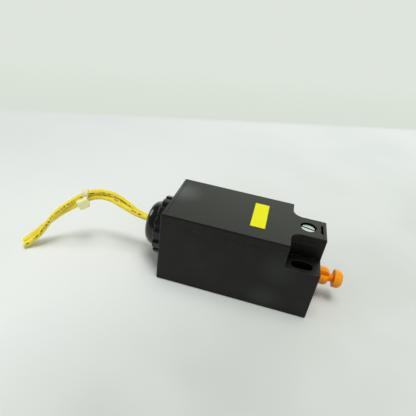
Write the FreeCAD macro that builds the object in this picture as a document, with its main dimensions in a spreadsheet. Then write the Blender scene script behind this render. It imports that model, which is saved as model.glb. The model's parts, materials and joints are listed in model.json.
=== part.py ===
import FreeCAD, Part
import math
import os
import re
import Sketcher

# Door position switch: a moulded box that lies on its mounting face, with the
# cover on top (+Z), the plunger at the front (+Y) and the cable gland at the
# rear (-Y). The origin is the centre of the mounting face. Millimetres.

SIZES = {
    # Case, 40 mm wide as such switches are, and its cover
    "case_length": 77.0,
    "case_width": 40.0,
    "case_height": 39.0,
    "edge_radius": 0.7,
    "side_wall": 2.5,
    "back_wall": 3.0,
    "rear_wall": 4.0,
    "cavity_radius": 2.0,
    "end_lip": 1.75,
    "cover_height": 4.6,
    "cover_skin": 2.2,
    "cover_gap": 0.2,
    "seam_groove": 0.12,
    "locating_depth": 1.5,
    "locating_wall": 1.2,
    "locating_clearance": 0.15,
    "gasket_inset": 0.6,
    "gasket_width": 1.2,
    "gasket_depth": 1.0,
    "tongue_width": 14.0,
    "tongue_reach": 1.0,
    "tongue_thickness": 1.2,
    "tongue_rise": 0.6,
    "pry_inner_width": 6.1,
    "pry_outer_width": 8.8,
    "pry_length": 1.25,
    "pry_depth": 2.4,
    # Notches beside the neck, with the two fixing slots in their floors
    "notch_length": 16.6,
    "notch_floor": 27.0,
    "notch_radius": 5.0,
    "neck_width": 15.8,
    "slot_width": 5.5,
    "slot_length": 10.5,
    "slot_spacing": 30.0,
    "slot_from_front": 8.8,
    # Cover screw, its brass insert and the label
    "screw_from_front": 8.9,
    "screw_diameter": 3.9,
    "screw_length": 10.5,
    "screw_head_diameter": 7.0,
    "screw_head_height": 2.6,
    "screw_head_radius": 0.35,
    "screw_recess": 0.8,
    "screw_slot_width": 1.0,
    "screw_slot_depth": 1.2,
    "screw_slot_turn": 13.0,
    "screw_tip_room": 0.6,
    "counterbore_diameter": 7.9,
    "clearance_hole": 4.5,
    "insert_diameter": 6.0,
    "insert_length": 8.0,
    "label_length": 7.2,
    "label_width": 22.2,
    "label_thickness": 0.12,
    "label_from_front": 29.0,
    # Fits
    "fit_clearance": 0.05,
    "slide_clearance": 0.1,
    # Plunger and what guides it
    "plunger_height": 13.0,
    "plunger_travel": 5.0,
    "stem_diameter": 9.4,
    "stem_reach": 8.0,
    "stem_inside": 2.2,
    "stem_flange": 1.4,
    "shoulder_radius": 2.2,
    "rib_thickness": 4.0,
    "plunger_neck": 4.2,
    "head_start": 10.4,
    "head_diameter": 9.2,
    "plunger_reach": 15.0,
    "head_dome": 2.6,
    "head_rim": 0.45,
    "shaft_diameter": 6.0,
    "shaft_tail": 1.6,
    "guide_length": 9.0,
    "seal_diameter": 13.0,
    "seal_length": 3.0,
    "clip_bore": 5.0,
    "clip_diameter": 10.0,
    "clip_thickness": 0.8,
    "clip_mouth": 4.0,
    "stop_gap": 0.05,
    # Contact carrier, bridges and springs
    "carrier_width": 8.0,
    "carrier_wall": 1.5,
    "nose_length": 2.5,
    "nose_diameter": 5.0,
    "bridge_length": 22.4,
    "bridge_width": 4.0,
    "bridge_thickness": 0.8,
    "tip_diameter": 3.2,
    "tip_height": 0.6,
    "contact_clearance": 0.05,
    "lost_motion": 0.2,
    "contact_spring_length": 2.9,
    "contact_spring_diameter": 3.6,
    "contact_spring_wire": 0.4,
    "contact_spring_turns": 3,
    "coil_sides": 6,
    "coil_steps": 12,
    "return_spring_length": 9.0,
    "return_spring_diameter": 6.4,
    "return_spring_wire": 0.6,
    "return_spring_turns": 6,
    "peg_diameter": 4.2,
    "peg_length": 1.5,
    # Contact block and terminals
    "seat_height": 3.0,
    "seat_width": 10.0,
    "seat_length": 6.0,
    "block_width": 31.0,
    "block_height": 16.0,
    "block_wall": 2.0,
    "block_clearance": 1.0,
    "chamber_clearance": 0.6,
    "barrier_thickness": 1.0,
    "barrier_height": 5.0,
    "ear_length": 6.0,
    "ear_thickness": 2.5,
    "ear_inner": 7.0,
    "block_screw_spacing": 22.4,
    "block_screw_diameter": 3.0,
    "block_screw_length": 7.0,
    "block_screw_head": 5.2,
    "block_screw_head_height": 2.0,
    "block_screw_tip_room": 0.5,
    "boss_diameter": 7.0,
    "bar_inner": 6.6,
    "bar_width": 4.4,
    "bar_thickness": 1.0,
    "bar_gap": 2.0,
    "plate_width": 8.0,
    "plate_length": 9.0,
    "plate_thickness": 1.2,
    "terminal_screw_diameter": 3.4,
    "terminal_screw_length": 8.0,
    "terminal_head_diameter": 6.0,
    "terminal_head_height": 2.2,
    "driver_slot_width": 0.9,
    "driver_slot_depth": 1.0,
    "clamp_size": 6.5,
    "clamp_thickness": 1.0,
    # Cable gland
    "gland_height": 19.7,
    "gland_thread": 20.0,
    "gland_collar_wall": 2.4,
    "gland_collar_length": 8.0,
    "gland_shoulder": 2.0,
    "lead_opening": 9.0,
    "cap_gap": 0.3,
    "cap_spigot": 4.5,
    "cap_ring_diameter": 31.4,
    "cap_ring_length": 4.9,
    "cap_rim_radius": 0.6,
    "cap_dome_diameter": 23.8,
    "cap_dome_length": 6.6,
    "cap_dome_radius": 5.0,
    "cap_front_wall": 2.5,
    "cap_bore": 14.0,
    "cap_hole": 8.4,
    "flute_count": 15,
    "flute_radius": 1.1,
    "flute_depth": 1.5,
    "lobe_radius": 0.8,
    "thrust_ring_thickness": 1.0,
    # Wires, their stripped ends and the tie
    "wire_diameter": 2.8,
    "conductor_diameter": 1.4,
    "pair_rise": 1.0,
    "pair_start": 3.3,
    "pair_gap": 0.2,
    "lead_first_bend": 0.18,
    "lead_second_bend": 0.55,
    "strip_gap": 1.0,
    "tie_place": 0.3,
    "tie_slant": 24.0,
    "tie_width": 2.8,
    "tie_thickness": 1.1,
    "tie_clearance": 0.2,
    "tie_head_length": 5.2,
    "tie_head_width": 5.8,
    "tie_head_height": 4.0,
    "tie_head_lift": 0.35,
    "tie_head_rise": 0.7,
    "tie_head_aside": 1.2,
}

# Places worked out from the sizes, as formulas of the sheet
PLACES = {
    "half_width": "case_width / 2",
    "front": "case_length / 2",
    "rear": "-case_length / 2",
    "seam": "case_height - cover_height",
    "lip_face": "case_length / 2 - end_lip",
    "cover_end": "lip_face - cover_gap",
    "cavity_half": "half_width - side_wall",
    "cavity_rear": "rear + rear_wall",
    "notch_start": "front - notch_length",
    "cavity_front": "notch_start - side_wall",
    "locating_radius": "cavity_radius - locating_clearance",
    "pocket_radius": "locating_radius - locating_wall",
    "groove_radius": "cavity_radius + gasket_inset",
    "gasket_radius": "groove_radius + gasket_width",
    "neck_half": "neck_width / 2",
    "slot_y": "front - slot_from_front",
    "slot_straight": "slot_length - slot_width",
    "screw_y": "front - screw_from_front",
    "screw_top": "case_height - screw_recess",
    "head_seat": "screw_top - screw_head_height",
    "label_front": "front - label_from_front",
    "seal_seat": "front - guide_length",
    "bush_front": "seal_seat - seal_length",
    "clip_front": "cavity_front - stop_gap",
    "clip_rear": "clip_front - clip_thickness",
    "shaft_end": "clip_rear - shaft_tail",
    "carrier_front": "shaft_end - nose_length",
    "carrier_half": "carrier_width / 2",
    "window_half": "bridge_width / 2 + slide_clearance",
    "no_window_front": "carrier_front - carrier_wall",
    "no_bridge_front": "no_window_front - contact_spring_length",
    "no_bridge_rear": "no_bridge_front - bridge_thickness",
    "no_window_rear": "no_bridge_rear - lost_motion",
    "no_fixed_face": "no_bridge_rear - tip_height - plunger_travel - contact_clearance",
    "no_bar_front": "no_fixed_face - tip_height",
    "no_bar_rear": "no_bar_front - bar_thickness",
    "nc_bar_front": "no_bar_rear - bar_gap",
    "nc_bar_rear": "nc_bar_front - bar_thickness",
    "nc_fixed_face": "nc_bar_rear - tip_height",
    "nc_bridge_front": "nc_fixed_face - contact_clearance - tip_height",
    "nc_bridge_rear": "nc_bridge_front - bridge_thickness",
    "nc_window_front": "nc_bridge_front + lost_motion",
    "nc_window_rear": "nc_bridge_rear - contact_spring_length",
    "carrier_rear": "nc_window_rear - carrier_wall",
    "spring_seat": "carrier_rear - return_spring_length",
    "block_rear": "spring_seat - block_wall",
    "block_front": "clip_rear - plunger_travel - block_clearance",
    "block_half": "block_width / 2",
    "block_floor": "back_wall + seat_height",
    "block_top": "block_floor + block_height",
    "tower_rear": "nc_bar_front - plate_length - strip_gap",
    "channel_half": "carrier_half + slide_clearance",
    "core_top": "plunger_height + channel_half",
    "core_half": "channel_half + block_wall",
    "chamber_half": "bridge_width / 2 + chamber_clearance",
    "ear_top": "block_floor + ear_thickness",
    "block_screw_y": "block_front + ear_length / 2",
    "tip_x": "bar_inner + bar_width / 2",
    "plate_top": "block_top + plate_thickness",
    "clamp_bottom": "plate_top + conductor_diameter",
    "clamp_top": "clamp_bottom + clamp_thickness",
    "terminal_hole": "terminal_screw_diameter + 2 * fit_clearance",
    "terminal_x": "bar_inner + plate_width / 2",
    "nc_terminal_y": "nc_bar_front - plate_length / 2",
    "no_terminal_y": "no_bar_rear + plate_length / 2",
    "conductor_x": "terminal_x - (terminal_hole + conductor_diameter) / 2",
    "conductor_z": "plate_top + conductor_diameter / 2",
    "collar_end": "cavity_rear + gland_collar_length",
    "seal_face": "collar_end - gland_shoulder",
    "spigot_end": "rear + cap_spigot",
    "thrust_face": "spigot_end + thrust_ring_thickness",
    "spigot_diameter": "gland_thread - 2 * fit_clearance",
    "cap_ring_end": "cap_gap + cap_ring_length",
    "cap_reach": "cap_ring_end + cap_dome_length",
    "cap_front": "rear - cap_reach",
}

# Free wires: the middle line of the pair, from inside the gland cap to the cut ends on
# the floor, and the side on which the first wire lies there, about one half spacing
# of the pair from that line. The wires cross once.
PAIR_ROUTE = [
    (0.0, 0.0, 0.0),
    (0.0, -9.0, 0.4),
    (0.0, -18.2, 5.3),
    (0.4, -27.5, 9.0),
    (2.9, -36.2, 8.3),
    (7.5, -44.2, 3.0),
    (12.5, -51.2, -2.5),
    (17.0, -56.4, -9.8),
    (20.4, -60.6, -15.2),
    (23.9, -64.6, -18.4),
]
WIRE_SIDES = [
    (-0.85, 0.0, -0.52),
    (-0.96, -0.06, -0.4),
    (-0.95, 0.22, 0.42),
    (-0.25, 0.3, 0.97),
    (0.0, -0.23, 0.97),
    (0.25, -0.41, 0.87),
    (0.81, -0.14, 0.72),
    (0.98, 0.62, 0.1),
    (0.6, 0.77, -0.2),
    (0.62, 0.62, -0.38),
]
TIED_RUN = PAIR_ROUTE[4:6]
TIED_SIDES = WIRE_SIDES[4:6]

doc = FreeCAD.newDocument("door_position_switch")
sheet = doc.addObject("Spreadsheet::Sheet", "dims")
for row, (alias, number) in enumerate(SIZES.items(), start=1):
    sheet.set(f"A{row}", alias)
    sheet.set(f"B{row}", str(number))
    sheet.setAlias(f"B{row}", alias)
for row, (alias, formula) in enumerate(PLACES.items(), start=1):
    sheet.set(f"D{row}", alias)
    sheet.set(f"E{row}", f"={formula}")
    sheet.setAlias(f"E{row}", alias)
doc.recompute()

Vector = FreeCAD.Vector
NODES = {}
SIDES = {"left": "-1", "right": "1"}
TOUCH = 1e-4
TURNED = {
    "y": FreeCAD.Rotation(Vector(1, 0, 0), -90),
    "z": FreeCAD.Rotation(),
}


def size(alias):
    return float(sheet.get(alias))


def linked(formula):
    """The formula with each name of the sheet as a link to its cell."""
    names = set(SIZES) | set(PLACES)
    return re.sub(r"[a-z_]\w*", lambda word: "dims." * (word[0] in names) + word[0], formula)


def bind(thing, **formulas):
    for name, formula in formulas.items():
        thing.setExpression(name, linked(formula))


def place(thing, start):
    for axis, formula in zip("xyz", start):
        thing.setExpression(f"Placement.Base.{axis}", linked(formula))


def box(name, x, y, z):
    """A block between two formulas on each axis."""
    block = doc.addObject("Part::Box", name)
    spans = [f"({high}) - ({low})" for low, high in (x, y, z)]
    bind(block, Length=spans[0], Width=spans[1], Height=spans[2])
    place(block, (x[0], y[0], z[0]))
    return block


def both(formula):
    """The span from minus a formula to plus it."""
    return (f"-({formula})", formula)


def around(centre, half):
    return (f"({centre}) - ({half})", f"({centre}) + ({half})")


def rod(name, diameter, length, start, axis="z"):
    cylinder = doc.addObject("Part::Cylinder", name)
    cylinder.Placement.Rotation = TURNED[axis]
    bind(cylinder, Radius=f"({diameter}) / 2", Height=length)
    place(cylinder, start)
    return cylinder


def fuse(name, *pieces):
    joined = doc.addObject("Part::MultiFuse", name)
    joined.Shapes = list(pieces)
    joined.Refine = True
    return joined


def cut(name, base, *tools):
    taken = doc.addObject("Part::Cut", name)
    taken.Base = base
    taken.Tool = tools[0] if len(tools) == 1 else fuse(f"{name}_tools", *tools)
    taken.Refine = True
    return taken


def common(name, *pieces):
    shared = doc.addObject("Part::MultiCommon", name)
    shared.Shapes = list(pieces)
    shared.Refine = True
    return shared


def tube(name, outer, inner, length, start, axis="z"):
    return cut(
        name,
        rod(f"{name}_outside", outer, length, start, axis),
        rod(f"{name}_hole", inner, length, start, axis),
    )


def rounded(name, base, alias, chosen=lambda edge: True):
    """The base with the chosen edges rounded to a radius of the sheet."""
    doc.recompute()
    soft = doc.addObject("Part::Fillet", name)
    soft.Base = base
    radius = size(alias)
    numbers = [i for i, edge in enumerate(base.Shape.Edges, start=1) if chosen(edge)]
    soft.Edges = [(number, radius, radius) for number in numbers]
    return soft


def upright(edge):
    first, last = edge.Vertexes[0].Point, edge.Vertexes[-1].Point
    return math.hypot(first.x - last.x, first.y - last.y) < 1e-6


def at_neck(edge):
    spot = edge.Vertexes[0].Point
    off = max(abs(abs(spot.x) - size("neck_half")), abs(spot.y - size("notch_start")))
    return upright(edge) and off < 1e-6


def pad(name, grow, z, radius):
    """A block over the cavity, grown to every side, with round upright edges."""
    x = both(f"cavity_half + {grow}")
    y = (f"cavity_rear - ({grow})", f"cavity_front + {grow}")
    return rounded(name, box(f"{name}_block", x, y, z), radius, upright)


def node(label, thing):
    thing.Label = label
    NODES[label] = thing
    return thing


def feature(label, shape):
    """A node whose shape is drawn straight from the sizes of the sheet."""
    thing = doc.addObject("Part::Feature", label)
    thing.Shape = shape
    return node(label, thing)


def group(label, pieces):
    """Separate solids of one kind under one label."""
    compound = doc.addObject("Part::Compound", label)
    compound.Links = pieces
    return node(label, compound)


def body_plane(body, role):
    return next(item for item in body.Origin.OriginFeatures if item.Role == role)


def sketch_on(body, name, role):
    sketch = body.newObject("Sketcher::SketchObject", name)
    sketch.AttachmentSupport = [(body_plane(body, role), "")]
    sketch.MapMode = "FlatFace"
    return sketch


def hold(sketch, kind, formula, *where):
    """A named size of a sketch that follows a formula."""
    number = sketch.addConstraint(Sketcher.Constraint(kind, *where, 1.0))
    label = f"{kind}_{number}"
    sketch.renameConstraint(number, label)
    sketch.setExpression(f"Constraints.{label}", linked(formula))


def outline(sketch, corners):
    """A closed outline, each of its corners held by two formulas."""
    count = len(corners)
    ring = []
    for index in range(count):
        angle = 2 * math.pi * index / count
        ring.append(Vector(math.cos(angle), math.sin(angle), 0))
    for index in range(count):
        sketch.addGeometry(Part.LineSegment(ring[index], ring[(index + 1) % count]))
    for index in range(count):
        sketch.addConstraint(Sketcher.Constraint("Coincident", index, 2, (index + 1) % count, 1))
    for index, (across, up) in enumerate(corners):
        hold(sketch, "DistanceX", across, -1, 1, index, 1)
        hold(sketch, "DistanceY", up, -1, 1, index, 1)


def turned_body(name, corners):
    """A body turned about its own Y axis from corners of (radius, distance)."""
    body = doc.addObject("PartDesign::Body", name)
    sketch = sketch_on(body, f"{name}_profile", "XY_Plane")
    outline(sketch, corners)
    turn = body.newObject("PartDesign::Revolution", f"{name}_turn")
    turn.Profile = sketch
    turn.ReferenceAxis = (sketch, ["V_Axis"])
    turn.Angle = 360
    doc.recompute()
    return body


def round_edges(body, alias, chosen):
    """Rounds the edges of a body that a test chooses."""
    base = body.Tip
    names = [f"Edge{number}" for number, edge in enumerate(base.Shape.Edges, start=1) if chosen(edge)]
    fillet = body.newObject("PartDesign::Fillet", f"{body.Name}_{alias}")
    fillet.Base = (base, names)
    bind(fillet, Radius=alias)
    doc.recompute()


def soften(body, alias, diameter, distance):
    """Rounds the ring of a turned body at a diameter and a distance along its axis."""

    def on_ring(edge):
        if not isinstance(edge.Curve, Part.Circle):
            return False
        radius_off = abs(edge.Curve.Radius - size(diameter) / 2)
        return max(radius_off, abs(edge.Curve.Center.y - size(distance))) < TOUCH

    round_edges(body, alias, on_ring)


def cut_round(body, sketch, start, depth, count):
    """Cuts a sketch into a turned body from a start along its axis, again and again round it."""
    bind(sketch, **{"AttachmentOffset.Base.z": f"-({start})"})
    pocket = body.newObject("PartDesign::Pocket", f"{sketch.Name}_pocket")
    pocket.Profile = sketch
    bind(pocket, Length=depth)
    doc.recompute()
    pattern = body.newObject("PartDesign::PolarPattern", f"{sketch.Name}_round")
    pattern.Originals = [pocket]
    pattern.Axis = (body_plane(body, "Y_Axis"), [""])
    pattern.Angle = 360
    bind(pattern, Occurrences=count)
    body.Tip = pattern
    doc.recompute()


def tangent_path(points):
    """Straight runs joined by tangent arcs as large as the runs allow, and their radii."""
    edges = []
    radii = []
    start = points[0]
    for before, corner, after in zip(points, points[1:], points[2:]):
        back = before - corner
        ahead = after - corner
        half_turn = (math.pi - back.getAngle(ahead)) / 2
        reach = 0.45 * min(back.Length, ahead.Length)
        radius = reach / math.tan(half_turn)
        back.normalize()
        ahead.normalize()
        inward = (back + ahead).normalize()
        middle = corner + inward * (radius / math.cos(half_turn) - radius)
        edges.append(Part.LineSegment(start, corner + back * reach).toShape())
        edges.append(Part.Arc(corner + back * reach, middle, corner + ahead * reach).toShape())
        radii.append(radius)
        start = corner + ahead * reach
    edges.append(Part.LineSegment(start, points[-1]).toShape())
    return Part.Wire(edges), radii


def cord_shape(label, points, diameter):
    """A round cord along a path, checked against its section times its length."""
    path, radii = tangent_path(points)
    ring = Part.Circle(points[0], points[1] - points[0], diameter / 2)
    solid = path.makePipeShell([Part.Wire(ring.toShape())], True, False)
    expected = math.pi * diameter**2 / 4 * path.Length
    if abs(solid.Volume / expected - 1) > 0.01:
        raise RuntimeError(f"{label} holds {solid.Volume:.1f}, not {expected:.1f}")
    print(f"{label}: length {path.Length:.1f}, bend radii", [round(radius, 1) for radius in radii])
    return solid


def coil_shape(kind, start):
    """A coil spring along Y, its wire drawn as a six-sided bar in short straight steps."""
    wire = size(f"{kind}_wire")
    mean = (size(f"{kind}_diameter") - wire) / 2
    sides = int(size("coil_sides"))
    steps_per_turn = int(size("coil_steps"))
    steps = int(size(f"{kind}_turns")) * steps_per_turn
    rise = (size(f"{kind}_length") - wire) / steps
    points = []
    for step in range(steps + 1):
        angle = 2 * math.pi * step / steps_per_turn
        across = Vector(mean * math.cos(angle), 0, mean * math.sin(angle))
        points.append(across + Vector(0, start + wire / 2 + rise * step, size("plunger_height")))
    heading = (points[1] - points[0]).normalize()
    outward = (points[0] - Vector(0, points[0].y, size("plunger_height"))).normalize()
    sideways = heading.cross(outward).normalize()
    ring = []
    for side in range(sides):
        angle = 2 * math.pi * side / sides
        ring.append(points[0] + (outward * math.cos(angle) + sideways * math.sin(angle)) * (wire / 2))
    faces = [Part.Face(Part.makePolygon(ring + ring[:1]))]
    for step in range(1, steps + 1):
        heading = (points[step] - points[step - 1]).normalize()
        mitre = heading
        if step < steps:
            mitre = heading + (points[step + 1] - points[step]).normalize()
        following = [
            corner + heading * ((points[step] - corner).dot(mitre) / heading.dot(mitre)) for corner in ring
        ]
        for side in range(sides):
            after = (side + 1) % sides
            quad = [ring[side], ring[after], following[after], following[side], ring[side]]
            faces.append(Part.Face(Part.makePolygon(quad)))
        ring = following
    faces.append(Part.Face(Part.makePolygon(ring + ring[:1])))
    shell = Part.Shell(faces)
    shell.sewShape()
    solid = Part.Solid(shell)
    if solid.Volume < 0:
        solid.reverse()
    return solid


def stadium_shape(half_length, radius, depth):
    """A prism with two round ends, long along X and as deep along Z, about the origin."""
    flat = half_length - radius
    low = -depth / 2
    spots = ((-flat, radius), (flat, radius), (flat, -radius), (-flat, -radius))
    corners = [Vector(x, y, low) for x, y in spots]
    sides = [
        Part.LineSegment(corners[0], corners[1]),
        Part.Arc(corners[1], Vector(half_length, 0, low), corners[2]),
        Part.LineSegment(corners[2], corners[3]),
        Part.Arc(corners[3], Vector(-half_length, 0, low), corners[0]),
    ]
    return Part.Face(Part.Wire([side.toShape() for side in sides])).extrude(Vector(0, 0, depth))


# Case outside and the spaces beside the neck, shared by the housing and the cover
case_block = box("case_block", both("half_width"), ("rear", "front"), ("0", "case_height"))
outside = rounded("case_outside", case_block, "edge_radius")
notches = []
for side, across in (("left", ("-case_width", "-neck_half")), ("right", ("neck_half", "case_width"))):
    space = box(f"notch_{side}", across, ("notch_start", "case_length"), ("notch_floor", "2 * case_height"))
    notches.append(rounded(f"notch_{side}_round", space, "notch_radius", at_neck))

# Housing: a shell with a gland collar, two screw bosses and a seat rib inside
shell = cut(
    "housing_shell",
    outside,
    box("cover_space", both("case_width"), both("lip_face"), ("seam", "2 * case_height")),
    pad("cavity", "0", ("back_wall", "2 * case_height"), "cavity_radius"),
    *notches,
)
collar = rod(
    "gland_collar",
    "gland_thread + 2 * gland_collar_wall",
    "gland_collar_length",
    ("0", "cavity_rear", "gland_height"),
    "y",
)
seat_rib = box(
    "seat_rib",
    both("seat_width / 2"),
    ("block_rear", "block_rear + seat_length"),
    ("back_wall", "block_floor"),
)
bosses = []
boss_holes = []
fixing_slots = []
for side, sign in SIDES.items():
    boss_x = f"{sign} * block_screw_spacing / 2"
    bosses.append(rod(f"boss_{side}", "boss_diameter", "seat_height", (boss_x, "block_screw_y", "back_wall")))
    boss_holes.append(
        rod(
            f"boss_hole_{side}",
            "block_screw_diameter + 2 * fit_clearance",
            "block_screw_length + block_screw_tip_room",
            (boss_x, "block_screw_y", "ear_top - block_screw_length - block_screw_tip_room"),
        )
    )
    slot_x = f"{sign} * slot_spacing / 2"
    slot_ends = around("slot_y", "slot_straight / 2")
    through = "notch_floor + 2"
    fixing_slots.append(
        box(f"slot_{side}", around(slot_x, "slot_width / 2"), slot_ends, ("-1", "notch_floor + 1"))
    )
    for end, slot_end in zip(("rear", "front"), slot_ends):
        fixing_slots.append(rod(f"slot_{side}_{end}", "slot_width", through, (slot_x, slot_end, "-1")))

gasket_reach = "gasket_inset + gasket_width"
groove_heights = ("seam - gasket_depth", "seam + 1")
groove = cut(
    "gasket_groove",
    pad("groove_outside", gasket_reach, groove_heights, "gasket_radius"),
    pad("groove_inside", "gasket_inset", groove_heights, "groove_radius"),
)
tongue_slot = box(
    "tongue_slot",
    both("tongue_width / 2 + locating_clearance"),
    ("-cover_end - tongue_reach - locating_clearance", "-lip_face + 1"),
    (
        "seam + tongue_rise - locating_clearance",
        "seam + tongue_rise + tongue_thickness + locating_clearance",
    ),
)
housing = cut(
    "housing",
    fuse("housing_solid", shell, collar, seat_rib, *bosses),
    groove,
    tongue_slot,
    rod("gland_bore", "gland_thread", "seal_face - rear + 1", ("0", "rear - 1", "gland_height"), "y"),
    rod("lead_hole", "lead_opening", "gland_shoulder + 2", ("0", "seal_face - 1", "gland_height"), "y"),
    rod(
        "plunger_bore",
        "stem_diameter + 2 * slide_clearance",
        "guide_length + 2",
        ("0", "seal_seat - 1", "plunger_height"),
        "y",
    ),
    rod(
        "seal_bore",
        "seal_diameter",
        "seal_seat - cavity_front + 1",
        ("0", "cavity_front - 1", "plunger_height"),
        "y",
    ),
    rod(
        "insert_hole",
        "insert_diameter + 2 * fit_clearance",
        "insert_length + 1",
        ("0", "screw_y", "seam - insert_length"),
    ),
    rod(
        "screw_tip_hole",
        "clearance_hole",
        "case_height",
        ("0", "screw_y", "head_seat - screw_length - screw_tip_room"),
    ),
    *boss_holes,
    *fixing_slots,
)
node("housing", housing)

# Cover: a plate between the end lips, with a locating rim below and a tongue at the gland end
plate = common(
    "cover_plate",
    outside,
    box("cover_slab", both("case_width"), both("cover_end"), ("seam", "2 * case_height")),
)
rim = pad("locating_rim", "-locating_clearance", ("seam - locating_depth", "seam"), "locating_radius")
tongue = box(
    "cover_tongue",
    both("tongue_width / 2"),
    ("-cover_end - tongue_reach", "-cover_end"),
    ("seam + tongue_rise", "seam + tongue_rise + tongue_thickness"),
)
pry_recess = doc.addObject("Part::Wedge", "pry_recess")
bind(pry_recess, Xmin="-pry_inner_width / 2", Xmax="pry_inner_width / 2")
bind(pry_recess, X2min="-pry_outer_width / 2", X2max="pry_outer_width / 2")
bind(pry_recess, Ymin="lip_face - pry_length", Ymax="lip_face")
bind(pry_recess, Zmin="case_height - pry_depth", Zmax="case_height + 1")
bind(pry_recess, Z2min="case_height - pry_depth", Z2max="case_height + 1")
seams = []
for side, across in (
    ("left", ("-case_width", "seam_groove - half_width")),
    ("right", ("half_width - seam_groove", "case_width")),
):
    seams.append(box(f"seam_{side}", across, both("case_length"), ("seam - 0.1", "seam + seam_groove")))
cover = cut(
    "cover",
    fuse("cover_solid", plate, rim, tongue),
    pad(
        "cover_pocket",
        "-locating_clearance - locating_wall",
        ("seam - locating_depth - 1", "case_height - cover_skin"),
        "pocket_radius",
    ),
    rod("counterbore", "counterbore_diameter", "case_height", ("0", "screw_y", "head_seat")),
    rod("screw_hole", "clearance_hole", "case_height", ("0", "screw_y", "seam - 1")),
    pry_recess,
    *seams,
    *notches,
)
node("cover", cover)

gasket = cut(
    "cover_gasket",
    pad("gasket_outside", gasket_reach, ("seam - gasket_depth", "seam"), "gasket_radius"),
    pad("gasket_inside", "gasket_inset", ("seam - gasket_depth", "seam"), "groove_radius"),
)
node("cover_gasket", gasket)
node(
    "label",
    box(
        "label",
        both("label_width / 2"),
        ("label_front - label_length", "label_front"),
        ("case_height", "case_height + label_thickness"),
    ),
)

# Cover screw with a round-edged cheese head, and the threaded insert it turns in
head_start = ("0", "screw_y", "head_seat")
head_block = rod("screw_head_block", "screw_head_diameter", "screw_head_height", head_start)


def top_ring(edge):
    return isinstance(edge.Curve, Part.Circle) and abs(edge.Curve.Center.z - size("screw_top")) < 1e-6


cover_screw = cut(
    "cover_screw",
    fuse(
        "cover_screw_solid",
        rounded("screw_head", head_block, "screw_head_radius", top_ring),
        rod("screw_shank", "screw_diameter", "screw_length", ("0", "screw_y", "head_seat - screw_length")),
    ),
    box(
        "screw_slot",
        both("screw_slot_width / 2"),
        around("screw_y", "screw_head_diameter"),
        ("screw_top - screw_slot_depth", "screw_top + 1"),
    ),
)
tightened = FreeCAD.Rotation(Vector(0, 0, 1), -size("screw_slot_turn"))
cover_screw.Placement = FreeCAD.Placement(Vector(), tightened, Vector(0, size("screw_y"), 0))
node("cover_screw", cover_screw)
insert = tube(
    "cover_insert",
    "insert_diameter",
    "screw_diameter + 2 * fit_clearance",
    "insert_length",
    ("0", "screw_y", "seam - insert_length"),
)
node("cover_insert", insert)

# Plunger: a turned spool whose stem is cut to a cross of ribs, on a shaft with a clip groove
groove_diameter = "clip_bore - 2 * fit_clearance"
plunger = turned_body(
    "plunger_body",
    [
        ("0", "shaft_end - front"),
        ("shaft_diameter / 2", "shaft_end - front"),
        ("shaft_diameter / 2", "clip_rear - front"),
        (f"({groove_diameter}) / 2", "clip_rear - front"),
        (f"({groove_diameter}) / 2", "clip_front - front"),
        ("shaft_diameter / 2", "clip_front - front"),
        ("shaft_diameter / 2", "-stem_inside"),
        ("stem_diameter / 2", "-stem_inside"),
        ("stem_diameter / 2", "stem_reach"),
        ("plunger_neck / 2", "stem_reach"),
        ("plunger_neck / 2", "head_start"),
        ("head_diameter / 2", "head_start"),
        ("head_diameter / 2", "plunger_reach"),
        ("0", "plunger_reach"),
    ],
)
soften(plunger, "shoulder_radius", "stem_diameter", "stem_reach")
soften(plunger, "head_dome", "head_diameter", "plunger_reach")
soften(plunger, "head_rim", "head_diameter", "head_start")
quarter = sketch_on(plunger, "stem_quarter", "XZ_Plane")
outline(
    quarter,
    [
        ("rib_thickness / 2", "rib_thickness / 2"),
        ("stem_diameter", "rib_thickness / 2"),
        ("stem_diameter", "stem_diameter"),
        ("rib_thickness / 2", "stem_diameter"),
    ],
)
cut_round(plunger, quarter, "stem_flange - stem_inside", "stem_reach + stem_inside - stem_flange", "4")
place(plunger, ("0", "front", "plunger_height"))
node("plunger", plunger)

clip_start = ("0", "clip_rear", "plunger_height")
clip = cut(
    "plunger_clip",
    tube("clip_ring", "clip_diameter", "clip_bore", "clip_thickness", clip_start, "y"),
    box(
        "clip_opening",
        both("clip_mouth / 2"),
        ("clip_rear - 1", "clip_front + 1"),
        ("plunger_height - clip_diameter", "plunger_height"),
    ),
)
node("plunger_clip", clip)
seat_diameter = "seal_diameter - 2 * fit_clearance"
guide_bore = "shaft_diameter + 2 * fit_clearance"
seal_start = ("0", "bush_front", "plunger_height")
node(
    "plunger_seal",
    tube("plunger_seal", seat_diameter, guide_bore, "seal_length", seal_start, "y"),
)
node(
    "plunger_bush",
    tube(
        "plunger_bush",
        seat_diameter,
        guide_bore,
        "bush_front - cavity_front",
        ("0", "cavity_front", "plunger_height"),
        "y",
    ),
)

# Contact block: a tower for four terminals and a narrower core round the return spring
heights = ("block_top", "block_top + barrier_height")
mid_wall = "(no_bar_rear + nc_bar_front) / 2"
block_solids = [
    box("block_core", both("core_half"), ("block_rear", "tower_rear"), ("block_floor", "core_top")),
    box("block_tower", both("block_half"), ("tower_rear", "block_front"), ("block_floor", "block_top")),
    box("cross_barrier", both("block_half"), around(mid_wall, "barrier_thickness / 2"), heights),
    box("long_barrier", both("barrier_thickness / 2"), ("tower_rear", "block_front"), heights),
]
block_cuts = [
    box(
        "carrier_channel",
        both("channel_half"),
        ("spring_seat", "block_front + 1"),
        around("plunger_height", "channel_half"),
    ),
    box(
        "nc_chamber",
        both("case_width"),
        ("nc_bridge_rear - plunger_travel - chamber_clearance", "nc_bar_rear"),
        around("plunger_height", "chamber_half"),
    ),
    box(
        "no_chamber",
        both("case_width"),
        ("no_bar_front", "no_bridge_front + chamber_clearance"),
        around("plunger_height", "chamber_half"),
    ),
]
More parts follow.
